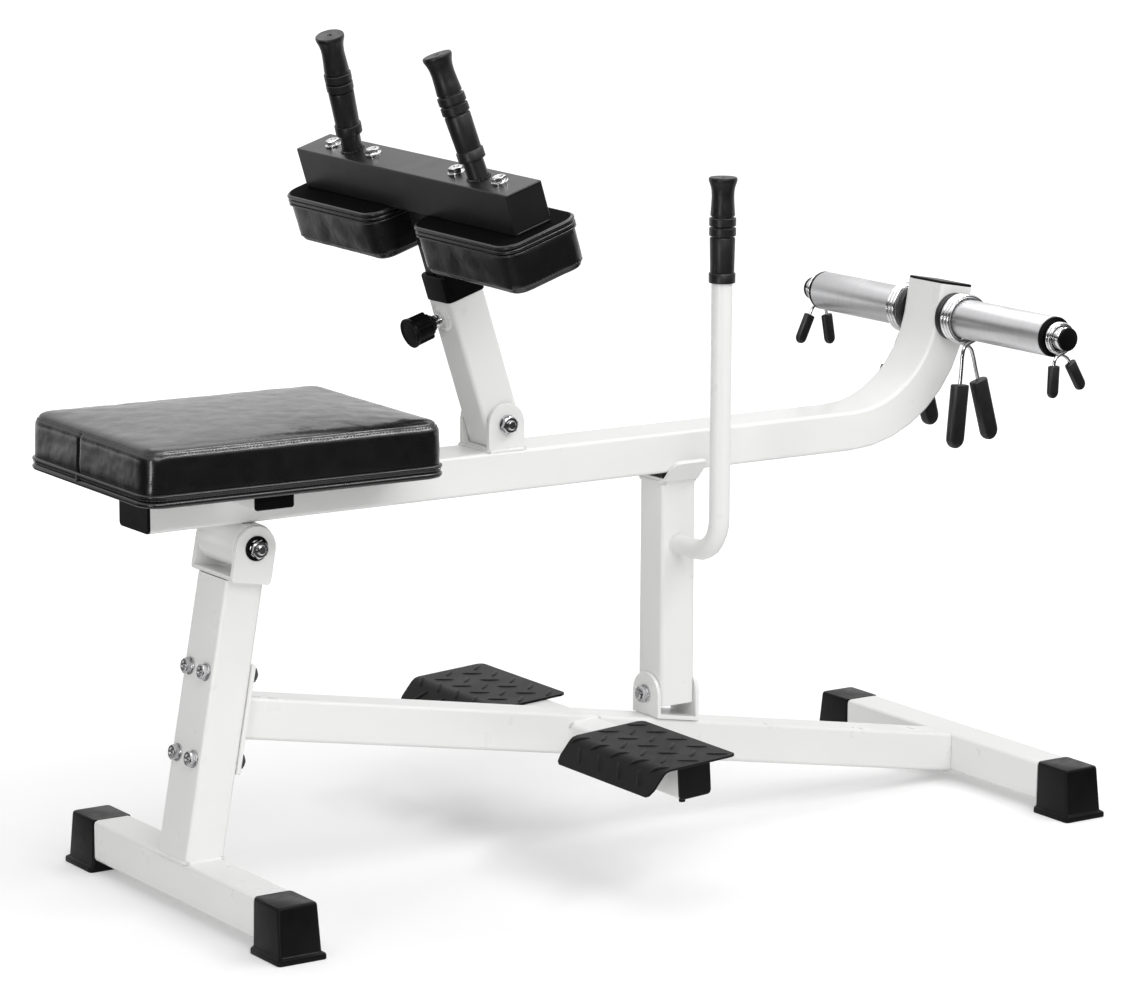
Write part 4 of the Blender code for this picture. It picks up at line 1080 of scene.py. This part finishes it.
class CALF_OT_footrests(bpy.types.Operator):
    """Raises the lugs of the tread plates"""
    bl_idname = "calf.footrests"
    bl_label = "Footrests"

    def execute(self, context):
        half_long, half_wide, tall = LUG
        model = turned("lug", [(-0.5, 1), (0.2, 0.97), (0.6, 0.85), (0.9, 0.6), (1, 0.3)], sides=16)
        put(model, Matrix.Diagonal((half_long, half_wide, tall, 1)))
        lug = set_aside(model)
        for side_name, side in SIDES:
            plate = refined(f"footrest_{side_name}", "tread_paint", 1.0 * MM, 35, 2)
            self.lengthen(plate, side)
            lugs = []
            for row in range(-1, 5):
                for column in range(5 - row % 2):
                    u = TREAD_BEND[0] - 5 * MM + row * LUG_PITCH / 2
                    v = LUG_START + (column + row % 2 / 2) * LUG_PITCH
                    turn = LUG_ANGLE if row % 2 else -LUG_ANGLE
                    place = Matrix.Translation((u, v, 0)) @ Matrix.Rotation(-turn, 4, "Z")
                    piece = copy_at(lug, "lug", place)
                    for vertex in piece.data.vertices:
                        vertex.co = TREAD @ on_sheet(vertex.co, side)
                    lugs.append(piece)
            pattern = joined(lugs, f"tread_lugs_{side_name}")
            with editing(pattern, everything=True):
                bpy.ops.mesh.bisect(plane_co=TREAD @ Vector((0, side * (TREAD_IN + MM), 0)),
                                    plane_no=Y * side, use_fill=True, clear_inner=True)
            dressed(closed_up(pattern), "tread_paint", "base", degrees=60)
            for piece in (plate, pattern):
                piece.data.transform(Matrix.Translation(TREAD_OUT[side]))
        bpy.data.meshes.remove(lug)
        return {"FINISHED"}

    def lengthen(self, plate, side):
        """Moves the plate's back and inner edges out to where the lugs end."""
        back = TREAD.inverted()
        for vertex in plate.data.vertices:
            at = back @ vertex.co
            if at.x > TREAD_BACK:
                at.x += TREAD_MORE
            if at.y * side < TREAD_INNER:
                at.y -= side * TREAD_MORE
            vertex.co = TREAD @ at


# Grips and the pull pin

# Distance from the grip's lower end and radius, in millimetres
GRIP_ROWS = ((0, 13.6), (0.3, 15.2), (1.0, 16.0), (11.4, 16.1), (12.3, 15.6), (12.8, 14.3),
             (13.6, 14.5), (34, 14.9), (53.4, 15.3), (54.6, 14.9), (55.0, 13.3), (56.4, 13.3),
             (56.8, 15.5), (57.5, 16.2), (65.8, 16.2), (66.5, 15.5), (66.9, 13.3), (68.2, 13.3),
             (68.6, 15.5), (69.3, 16.2), (77.6, 16.2), (78.3, 15.5), (78.7, 13.3), (80.2, 13.2),
             (80.6, 14.5), (82, 14.9), (92, 14.1), (104, 13.5), (111, 13.9), (116, 14.9),
             (120, 16.3), (122.4, 17.1), (124.4, 17.3), (126.0, 16.9), (126.8, 15.9),
             (126.4, 13.5), (126.6, 4.5), (126.3, 3.0), (125.2, 2.4), (125.0, 0.6))


class CALF_OT_grips(bpy.types.Operator):
    """Moulds the three rubber grips"""
    bl_idname = "calf.grips"
    bl_label = "Grips"

    def execute(self, context):
        rows = in_mm(GRIP_ROWS)
        foot = Vector((PROP_PIVOT.x, middle("release_grip").y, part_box("release_grip")[0].z))
        places = [("release_grip", "support", foot, Z)]
        for side_name, side in SIDES:
            axis = HEAD.to_3x3() @ Vector((0, -side * math.sin(GRIP_LEAN), math.cos(GRIP_LEAN)))
            foot = HEAD @ Vector((0, side * GRIP_BASE_Y, BEAM_U + TUBE))
            places.append((f"handle_grip_{side_name}", "slider", foot + axis * GRIP_NECK, axis))
            rod = [(-2 * MM, ROD_R), (GRIP_NECK + 4 * MM, ROD_R)]
            dressed(turned(f"handle_rod_{side_name}", rod, foot, axis), "black_paint", "slider",
                    degrees=50)
        for node, body, foot, axis in places:
            obj = turned(f"{node}_moulded", rows, foot, axis)
            dressed(obj, "rubber", body, node, degrees=32)
        return {"FINISHED"}


# Distance from the thigh post's middle and radius, in millimetres
STEM_ROWS = ((21.3, 3), (22.3, 4), (44, 4))
BOSS_ROWS = ((25, 14.5), (26.4, 14.2), (27.6, 13), (28.2, 11.5), (28.2, 8.2), (27.6, 8))
HOUSING_ROWS = ((27.6, 7), (27.6, 7.6), (28.4, 8.2), (32.6, 8.2), (33.1, 7.7), (33.6, 7.7),
                (34.1, 8.2), (36.2, 8.2), (36.7, 7.7), (37.2, 7.7), (37.7, 8.2), (40.2, 8),
                (40.7, 7.4), (40.7, 4.4))
KNOB_ROWS = ((41.1, 9), (41.6, 10), (47.3, 11), (48, 11.6), (48, 16.2), (48.8, 17), (70.4, 17.3),
             (71.2, 17.6), (72, 18.1), (74.2, 18.1), (75, 17.4), (75, 15.4), (74.4, 15),
             (74.4, 10.4), (74.9, 10), (75.1, 0.5))
FLUTE_ROWS = ((44, 5.2), (69.4, 5.2), (70.4, 4.2))
FLUTE_AT = 19.6 * MM
LOBES = 6


class CALF_OT_pull_pin(bpy.types.Operator):
    """Models the pull pin's fluted knob, stem and housing"""
    bl_idname = "calf.pull_pin"
    bl_label = "Pull pin"

    def execute(self, context):
        out = -(THIGH.to_3x3() @ X)
        centre = THIGH @ Vector((0, 0, PIN_U))

        def turn(name, rows, sides=48):
            return turned(name, in_mm(rows), centre, out, sides)

        dressed(turn("pull_pin_stem", STEM_ROWS, 24), "chrome", "pin", degrees=30)
        dressed(turn("pull_pin_boss", BOSS_ROWS), "white_paint", "thigh", degrees=60)
        dressed(turn("pull_pin_housing", HOUSING_ROWS), "chrome", "thigh", degrees=30)
        knob = turn("pull_pin_knob", KNOB_ROWS, 96)
        tools = []
        for number in range(LOBES):
            spin = Matrix.Rotation(math.tau * (number + 0.35) / LOBES, 3, out)
            at = centre + spin @ (Y * FLUTE_AT)
            tools.append(turned("flute", in_mm(FLUTE_ROWS), at, out, 24))
        tool = joined(tools, "flutes")
        modify(knob, "BOOLEAN", operation="DIFFERENCE", object=tool, solver="EXACT")
        bpy.data.objects.remove(tool)
        modify(knob, "BEVEL", width=0.5 * MM, segments=2, limit_method="ANGLE",
               angle_limit=math.radians(50))
        dressed(knob, "plastic", "pin", "pull_pin", degrees=40)
        return {"FINISHED"}


class CALF_OT_saddle_pad(bpy.types.Operator):
    """Softens the edges of the rubber pad under the arm"""
    bl_idname = "calf.saddle_pad"
    bl_label = "Saddle pad"

    def execute(self, context):
        refined("saddle_pad", "rubber", 0.8 * MM, 40, 3)
        return {"FINISHED"}


# Upholstery


def ridge(at, radius, steps=5):
    """Rows of a half-round welt: (height, outset)."""
    turns = [math.pi * (i / steps - 0.5) for i in range(steps + 1)]
    return [(at + radius * math.sin(a), radius * (math.cos(a) - 1)) for a in turns]


def welted_board(name, half, corner, rows, place, body):
    """Covered board: its edge is a band of welts, its underside lined with cloth."""
    rows = [(height, half[0] + out, half[1] + out, 0) for height, out in in_mm(rows)]
    obj = dressed(stacked(name, rows, corner, 8), "leather", body, degrees=45)
    obj.data.materials.append(FINISHES["lining"][0])
    for face in obj.data.polygons:
        if face.normal.z < -0.9 and face.center.z < rows[0][0] + 0.1 * MM:
            face.material_index = 1
    put(obj, place)


def stitches(name, half, corner, height, place, body, cloth, cover=None):
    """Row of stitches round a rounded rectangle."""
    place = place @ Matrix.Translation(Z * height)
    curve = loop_curve("stitch_line", *half, corner, 40, place, cover)
    trip = curve.data.splines[0].calc_length()
    count = round(trip / cloth.stitch_pitch)
    end = 0.35 * MM
    obj = turned(name, [(0, 0.3 * MM), (end, 0.5 * MM), (cloth.stitch / 2, 0.62 * MM),
                        (cloth.stitch - end, 0.5 * MM), (cloth.stitch, 0.3 * MM)], axis=X, sides=6)
    modify(obj, "ARRAY", count=count, use_relative_offset=False, use_constant_offset=True,
           constant_offset_displace=(trip / count, 0, 0))
    modify(obj, "CURVE", object=curve, deform_axis="POS_X")
    bpy.data.objects.remove(curve)
    dressed(obj, "thread", body, degrees=60)


FOAM_GIVE = 0.5 * MM
# Height of a cushion's lower edge over its board's, and of what the board holds above it
FOAM_LOW = 9 * MM
FOAM_HELD = 3 * MM
# How deep a seam draws the cover in, half its width, and scale and height of the creases
SEAM_DEPTH = 0.9 * MM
SEAM_WIDE = 3.2 * MM
CREASES = ((40, 0.5 * MM), (150, 0.15 * MM))


def plump(obj, cloth, swell, pinned_below):
    """Swells a cover by cloth simulation: out by no more than swell, in by what its foam gives."""
    modify(obj, "REMESH", mode="VOXEL", voxel_size=cloth.voxel)
    rest = [(v.co.copy(), v.normal.copy()) for v in obj.data.vertices]
    board = obj.vertex_groups.new(name="board")
    board.add([v.index for v in obj.data.vertices if v.co.z < pinned_below], 1.0, "REPLACE")
    choose(obj)
    bpy.ops.object.modifier_add(type="CLOTH")
    modifier = obj.modifiers[-1]
    settings = modifier.settings
    settings.quality = 4
    settings.use_pressure = True
    settings.uniform_pressure_force = cloth.pressure
    settings.effector_weights.gravity = 0
    settings.vertex_group_mass = "board"
    scene = bpy.context.scene
    for number in range(1, cloth.frames + 1):
        scene.frame_set(number)
    bpy.ops.object.modifier_apply(modifier=modifier.name)
    scene.frame_set(1)
    obj.vertex_groups.clear()
    moves = [v.co - at for v, (at, _) in zip(obj.data.vertices, rest)]
    share = min(1, swell / max(move.length for move in moves))
    for vertex, (at, normal), move in zip(obj.data.vertices, rest, moves):
        out = move.dot(normal) * share
        along = (move - normal * move.dot(normal)) * share
        vertex.co = at + normal * max(out, -FOAM_GIVE) + along * 0.5
    modify(obj, "SMOOTH", factor=0.5, iterations=1)
    modify(obj, "SUBSURF", levels=1, render_levels=1)


def outset_of(point, half, corner):
    """How far outside a rounded rectangle a point is, and the way out."""
    over = Vector((max(abs(point.x) - (half[0] - corner), 0),
                   max(abs(point.y) - (half[1] - corner), 0), 0))
    way = Vector((math.copysign(over.x, point.x), math.copysign(over.y, point.y), 0))
    if way.length == 0:
        return -corner, way
    return way.length - corner, way.normalized()


class Cushion:
    """Sizes of an upholstered block: half sides, thickness, corner and top roll."""

    def __init__(self, half, thick, corner, roll, swell, seam):
        self.half, self.thick, self.corner = half, thick, corner
        self.roll, self.swell, self.seam = roll, swell, seam

    def block(self, name, base):
        """Block a little smaller than the cushion, to leave room for the swell."""
        clear_selection()
        wall, top = self.swell * 0.15, self.thick - self.swell * 0.8
        bpy.ops.mesh.primitive_cube_add(size=2, location=(0, 0, (base + top) / 2))
        obj = sized(name, self.half[0] - wall, self.half[1] - wall, (top - base) / 2)
        bevelled(obj, self.corner, 8, lambda a, b: abs(a.z - b.z) > base)
        bevelled(obj, self.roll, 7, lambda a, b: min(a.z, b.z) > top - 0.1 * MM)
        return obj

    def sew(self, obj, upright):
        """Draws the cover in along its seams and gives it slack and creases."""
        for vertex in obj.data.vertices:
            co = vertex.co.copy()
            out, way = outset_of(co, self.half, self.corner)
            if out > -0.4 * self.corner:
                near = abs(co.z - self.seam) / SEAM_WIDE
                if near < 1:
                    co -= way * SEAM_DEPTH * (1 - near * near)
                if upright is not None and co.x < 0 and co.z < self.seam:
                    near = abs(co.y - upright) / SEAM_WIDE
                    if near < 1:
                        co.x += 2.8 * SEAM_DEPTH * (1 - near * near)
            crease = sum(noise.noise(co * scale) * height for scale, height in CREASES)
            vertex.co = co + (way if out > -self.corner * 0.5 else Z) * crease

    def build(self, name, place, body, node, cloth, upright=None):
        obj = self.block(name, FOAM_LOW)
        plump(obj, cloth, self.swell, FOAM_LOW + FOAM_HELD)
        self.sew(obj, upright)
        dressed(put(obj, place), "leather", body, node, degrees=180)
        return obj


SEAT_CORNER = 24 * MM
# How much the cushion is longer and wider on each side than the seat's solid, and thicker
SEAT_MORE = Vector((2.5 * MM, 2.5 * MM, 8 * MM))
SEAT_LEAN = (math.radians(0.55), math.radians(0.25))
PAD_CORNER = 22 * MM
# How far the cushions' walls and the seat's stitched band lie inside the boards' edges
WALL_IN = 2.5 * MM
BAND_IN = 2.4 * MM
BAND_UP = 8.2 * MM
# Roll of the top edges, and how far the seams lie below the tops
SEAT_ROLL = 15 * MM
SEAT_SEAM = 11.5 * MM
PAD_ROLL = 9 * MM
PAD_SEAM = 8 * MM
# Where the seat's upright seam is, and how far stitches lie from a seam
SEAM_Y = 19 * MM
SEAM_STEP = 2.6 * MM


class CALF_OT_seat(bpy.types.Operator):
    """Upholsters the seat"""
    bl_idname = "calf.seat"
    bl_label = "Seat"

    def execute(self, context):
        cloth = context.scene.calf_upholstery
        low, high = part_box("seat")
        half = ((high.x - low.x) / 2 + SEAT_MORE.x, (high.y - low.y) / 2 + SEAT_MORE.y)
        thick = high.z - low.z + SEAT_MORE.z
        place = Matrix.Translation(Vector(((low.x + high.x) / 2 + SEAT_MORE.x, 0, low.z)))
        for lean, axis in zip(SEAT_LEAN, "XY"):
            place @= Matrix.Rotation(lean, 4, axis)
        rows = [(0, -9), (-0.9, -4.2), *ridge(2.8, 3.8), (6.8, -2.6), (9.6, -2.4),
                *ridge(12, 2.2), (14.4, -5)]
        welted_board("seat_board", half, SEAT_CORNER, rows, place, "lever")
        wall = (half[0] - WALL_IN, half[1] - WALL_IN)
        seam = thick - SEAT_SEAM
        cushion = Cushion(wall, thick, SEAT_CORNER - WALL_IN, SEAT_ROLL, cloth.seat_swell, seam)
        cover = cushion.build("seat_cover", place, "lever", "seat", cloth, SEAM_Y)
        band = (half[0] - BAND_IN, half[1] - BAND_IN)
        stitches("seat_band_stitches", band, SEAT_CORNER - BAND_IN, BAND_UP, place, "lever", cloth)
        stitches("seat_top_stitches", wall, SEAT_CORNER - WALL_IN, seam + SEAM_STEP, place, "lever",
                 cloth, cover)
        joint = turned("seat_welt_joint", in_mm([(3.4, 0.6), (4, 1.3), (11.8, 1.3), (12.4, 0.6)]),
                       place @ Vector((-half[0] + 0.6 * MM, SEAM_Y, 0)), Z, 16)
        dressed(joint, "thread", "lever", degrees=50)
        return {"FINISHED"}


class CALF_OT_thigh_pads(bpy.types.Operator):
    """Upholsters the two thigh pads"""
    bl_idname = "calf.thigh_pads"
    bl_label = "Thigh pads"

    def execute(self, context):
        cloth = context.scene.calf_upholstery
        rows = [(0, -6), (0.1, -2.8), *ridge(2.8, 2.6), *ridge(8.2, 2.6), (10.9, -2.8),
                *ridge(12.4, 1.3), (14, -5)]
        wall = (PAD_HALF[0] - WALL_IN, PAD_HALF[1] - WALL_IN)
        corner = PAD_CORNER - WALL_IN
        seam = PAD_THICK - PAD_SEAM
        cushion = Cushion(wall, PAD_THICK + 1 * MM, corner, PAD_ROLL, cloth.pad_swell, seam)
        for side_name, side in SIDES:
            at = Matrix.Translation(Vector((0, side * PAD_Y, BEAM_U - 0.3 * MM)))
            place = HEAD @ at @ Matrix.Rotation(math.pi, 4, "X")
            welted_board(f"thigh_pad_board_{side_name}", PAD_HALF, PAD_CORNER, rows, place,
                         "slider")
            cover = cushion.build(f"thigh_pad_cover_{side_name}", place, "slider",
                                  f"thigh_pad_{side_name}", cloth)
            stitches(f"thigh_pad_stitches_{side_name}", wall, corner, seam - SEAM_STEP, place,
                     "slider", cloth, cover)
        return {"FINISHED"}


# Stage

# Name, setting of the power, size and place of each lamp, and what they are aimed at
LAMPS = (("key_softbox", "key", (2.6, 1.9), (-0.8, -2.8, 2.6)),
         ("side_strip", "side", (0.5, 1.1), (-2.7, -1.5, 0.4)),
         ("edge_strip", "edge", (2.4, 0.3), (1.5, -1.6, 3.0)),
         ("top_softbox", "fill", (2.4, 2.4), (0.6, 0.8, 3.0)))
LAMP_AIM = Vector((0, 0, 0.4))
STUDIO_DARK = (0.05, 0.05, 0.05)
# Distances from the machine between which the floor's own white goes from near to far
GLOW_REACH = (0.4, 2.2)
# How squarely a reflection must face the backdrop to see its edge and all of it
BACKDROP_REACH = (0.3, 0.75)


class CALF_OT_stage(bpy.types.Operator):
    """Sets the floor, lamps, world and camera"""
    bl_idname = "calf.stage"
    bl_label = "Stage"

    def execute(self, context):
        s = context.scene.calf_stage
        self.floor(s)
        self.lamps(s)
        self.world(context.scene, s)
        self.camera(context.scene, s)
        context.scene.view_settings.view_transform = "Standard"
        return {"FINISHED"}

    def floor(self, s):
        """Pale floor, white to the camera, that falls off into a dark studio in reflections."""
        clear_selection()
        bpy.ops.mesh.primitive_plane_add(size=80, location=(0, 0, -0.2 * MM))
        floor = named("floor")
        surface = Surface("floor", s.floor, 0.9, specular_ior_level=0.1)
        rays = surface.add("ShaderNodeLightPath").outputs
        distance = surface.add("ShaderNodeVectorMath", operation="LENGTH")
        surface.tree.links.new(surface.coordinates, distance.inputs[0])
        away = surface.spread(distance.outputs["Value"], 0, 1, *s.floor_fade)
        toward = surface.share_along(surface.coordinates,
                                     (math.sin(s.azimuth), -math.cos(s.azimuth), 0))
        away = surface.maths("MULTIPLY", away, surface.spread(toward, 0, 1, *s.floor_front))
        mirrored = surface.maths("MULTIPLY", rays["Is Glossy Ray"], away)
        surface.set(surface.shader, "Base Color", surface.blend(mirrored, s.floor, STUDIO_DARK))
        seen = surface.maths("ADD", rays["Is Camera Ray"], rays["Is Transmission Ray"])
        lit = surface.maths("SUBTRACT", rays["Is Glossy Ray"], mirrored)
        seen = surface.maths("ADD", seen, lit)
        glow = surface.spread(distance.outputs["Value"], *s.floor_glow, *GLOW_REACH)
        surface.set(surface.shader, "Emission Color", (1, 1, 1, 1))
        surface.set(surface.shader, "Emission Strength", surface.maths("MULTIPLY", seen, glow))
        floor.data.materials.append(surface.material)

    def lamps(self, s):
        for name, power, size, at in LAMPS:
            clear_selection()
            turn = (Vector(at) - LAMP_AIM).to_track_quat("Z", "Y").to_euler()
            bpy.ops.object.light_add(type="AREA", radius=1, location=at, rotation=turn)
            lamp = named(name)
            lamp.data.shape = "RECTANGLE"
            lamp.data.size, lamp.data.size_y = size
            lamp.data.energy = getattr(s, power)
            lamp.visible_camera = False

    def world(self, scene, s):
        world = scene.world or bpy.data.worlds.new("world")
        scene.world = world
        world.use_nodes = True
        sky = Nodes(world.node_tree)
        link = sky.tree.links.new
        sky.tree.nodes.clear()
        light, mirrored, backdrop = (sky.add("ShaderNodeBackground") for _ in range(3))
        for shade, strength in ((light, s.sky), (mirrored, 1.0), (backdrop, 1.0)):
            sky.set(shade, "Color", (1, 1, 1, 1))
            sky.set(shade, "Strength", strength)
        ways = sky.add("ShaderNodeTexCoord").outputs["Generated"]
        parts = sky.add("ShaderNodeSeparateXYZ")
        link(ways, parts.inputs[0])
        rise = sky.spread(parts.outputs["Z"], *s.mirrored, *s.horizon, "SMOOTHSTEP")
        behind = sky.share_along(ways, (-math.sin(s.azimuth), math.cos(s.azimuth), 0))
        wall = sky.spread(behind, 0, s.backdrop, *BACKDROP_REACH, "SMOOTHSTEP")
        sky.set(mirrored, "Strength", sky.maths("MAXIMUM", rise, wall))
        rays = sky.add("ShaderNodeLightPath").outputs
        seen = sky.maths("MAXIMUM", rays["Is Camera Ray"], rays["Is Transmission Ray"])
        shader = light.outputs[0]
        for amount, other in ((rays["Is Glossy Ray"], mirrored), (seen, backdrop)):
            mix = sky.add("ShaderNodeMixShader")
            for source, socket in zip((amount, shader, other.outputs[0]), mix.inputs):
                link(source, socket)
            shader = mix.outputs[0]
        link(shader, sky.add("ShaderNodeOutputWorld").inputs["Surface"])

    def camera(self, scene, s):
        back = Vector((math.sin(s.azimuth) * math.cos(s.elevation),
                       -math.cos(s.azimuth) * math.cos(s.elevation), math.sin(s.elevation)))
        turn = back.to_track_quat("Z", "Y") @ Matrix.Rotation(s.roll, 3, "Z").to_quaternion()
        clear_selection()
        bpy.ops.object.camera_add(location=Vector(s.target) + back * s.distance,
                                  rotation=turn.to_euler())
        camera = named("camera")
        camera.data.lens = s.lens
        camera.data.sensor_width = 36
        camera.data.sensor_fit = "HORIZONTAL"
        camera.data.shift_x, camera.data.shift_y = s.shift_x, s.shift_y
        camera.data.clip_end = 200
        scene.camera = camera


class CALF_PT_panel(bpy.types.Panel):
    """Lists the pieces that can be built"""
    bl_idname = "CALF_PT_panel"
    bl_label = "Calf Raise Machine"
    bl_space_type = "VIEW_3D"
    bl_region_type = "UI"
    bl_category = "Calf Raise"

    def draw(self, context):
        for operator in OPERATORS:
            self.layout.operator(operator.bl_idname)


SETTINGS = (("calf_colours", CalfColours), ("calf_steelwork", CalfSteelwork),
            ("calf_upholstery", CalfUpholstery), ("calf_stage", CalfStage))
OPERATORS = (CALF_OT_finishes, CALF_OT_steelwork, CALF_OT_welds, CALF_OT_end_caps,
             CALF_OT_fasteners, CALF_OT_weight_end, CALF_OT_spring_clips, CALF_OT_footrests,
             CALF_OT_grips, CALF_OT_pull_pin, CALF_OT_saddle_pad, CALF_OT_seat,
             CALF_OT_thigh_pads, CALF_OT_stage)


def register():
    for name, group in SETTINGS:
        bpy.utils.register_class(group)
        setattr(bpy.types.Scene, name, PointerProperty(type=group))
    for operator in OPERATORS:
        bpy.utils.register_class(operator)
    bpy.utils.register_class(CALF_PT_panel)


def unregister():
    bpy.utils.unregister_class(CALF_PT_panel)
    for operator in reversed(OPERATORS):
        bpy.utils.unregister_class(operator)
    for name, group in reversed(SETTINGS):
        delattr(bpy.types.Scene, name)
        bpy.utils.unregister_class(group)


def main():
    register()
    for operator in OPERATORS:
        group, name = operator.bl_idname.split(".")
        getattr(getattr(bpy.ops, group), name)()
    clear_selection()


if __name__ == "__main__":
    main()
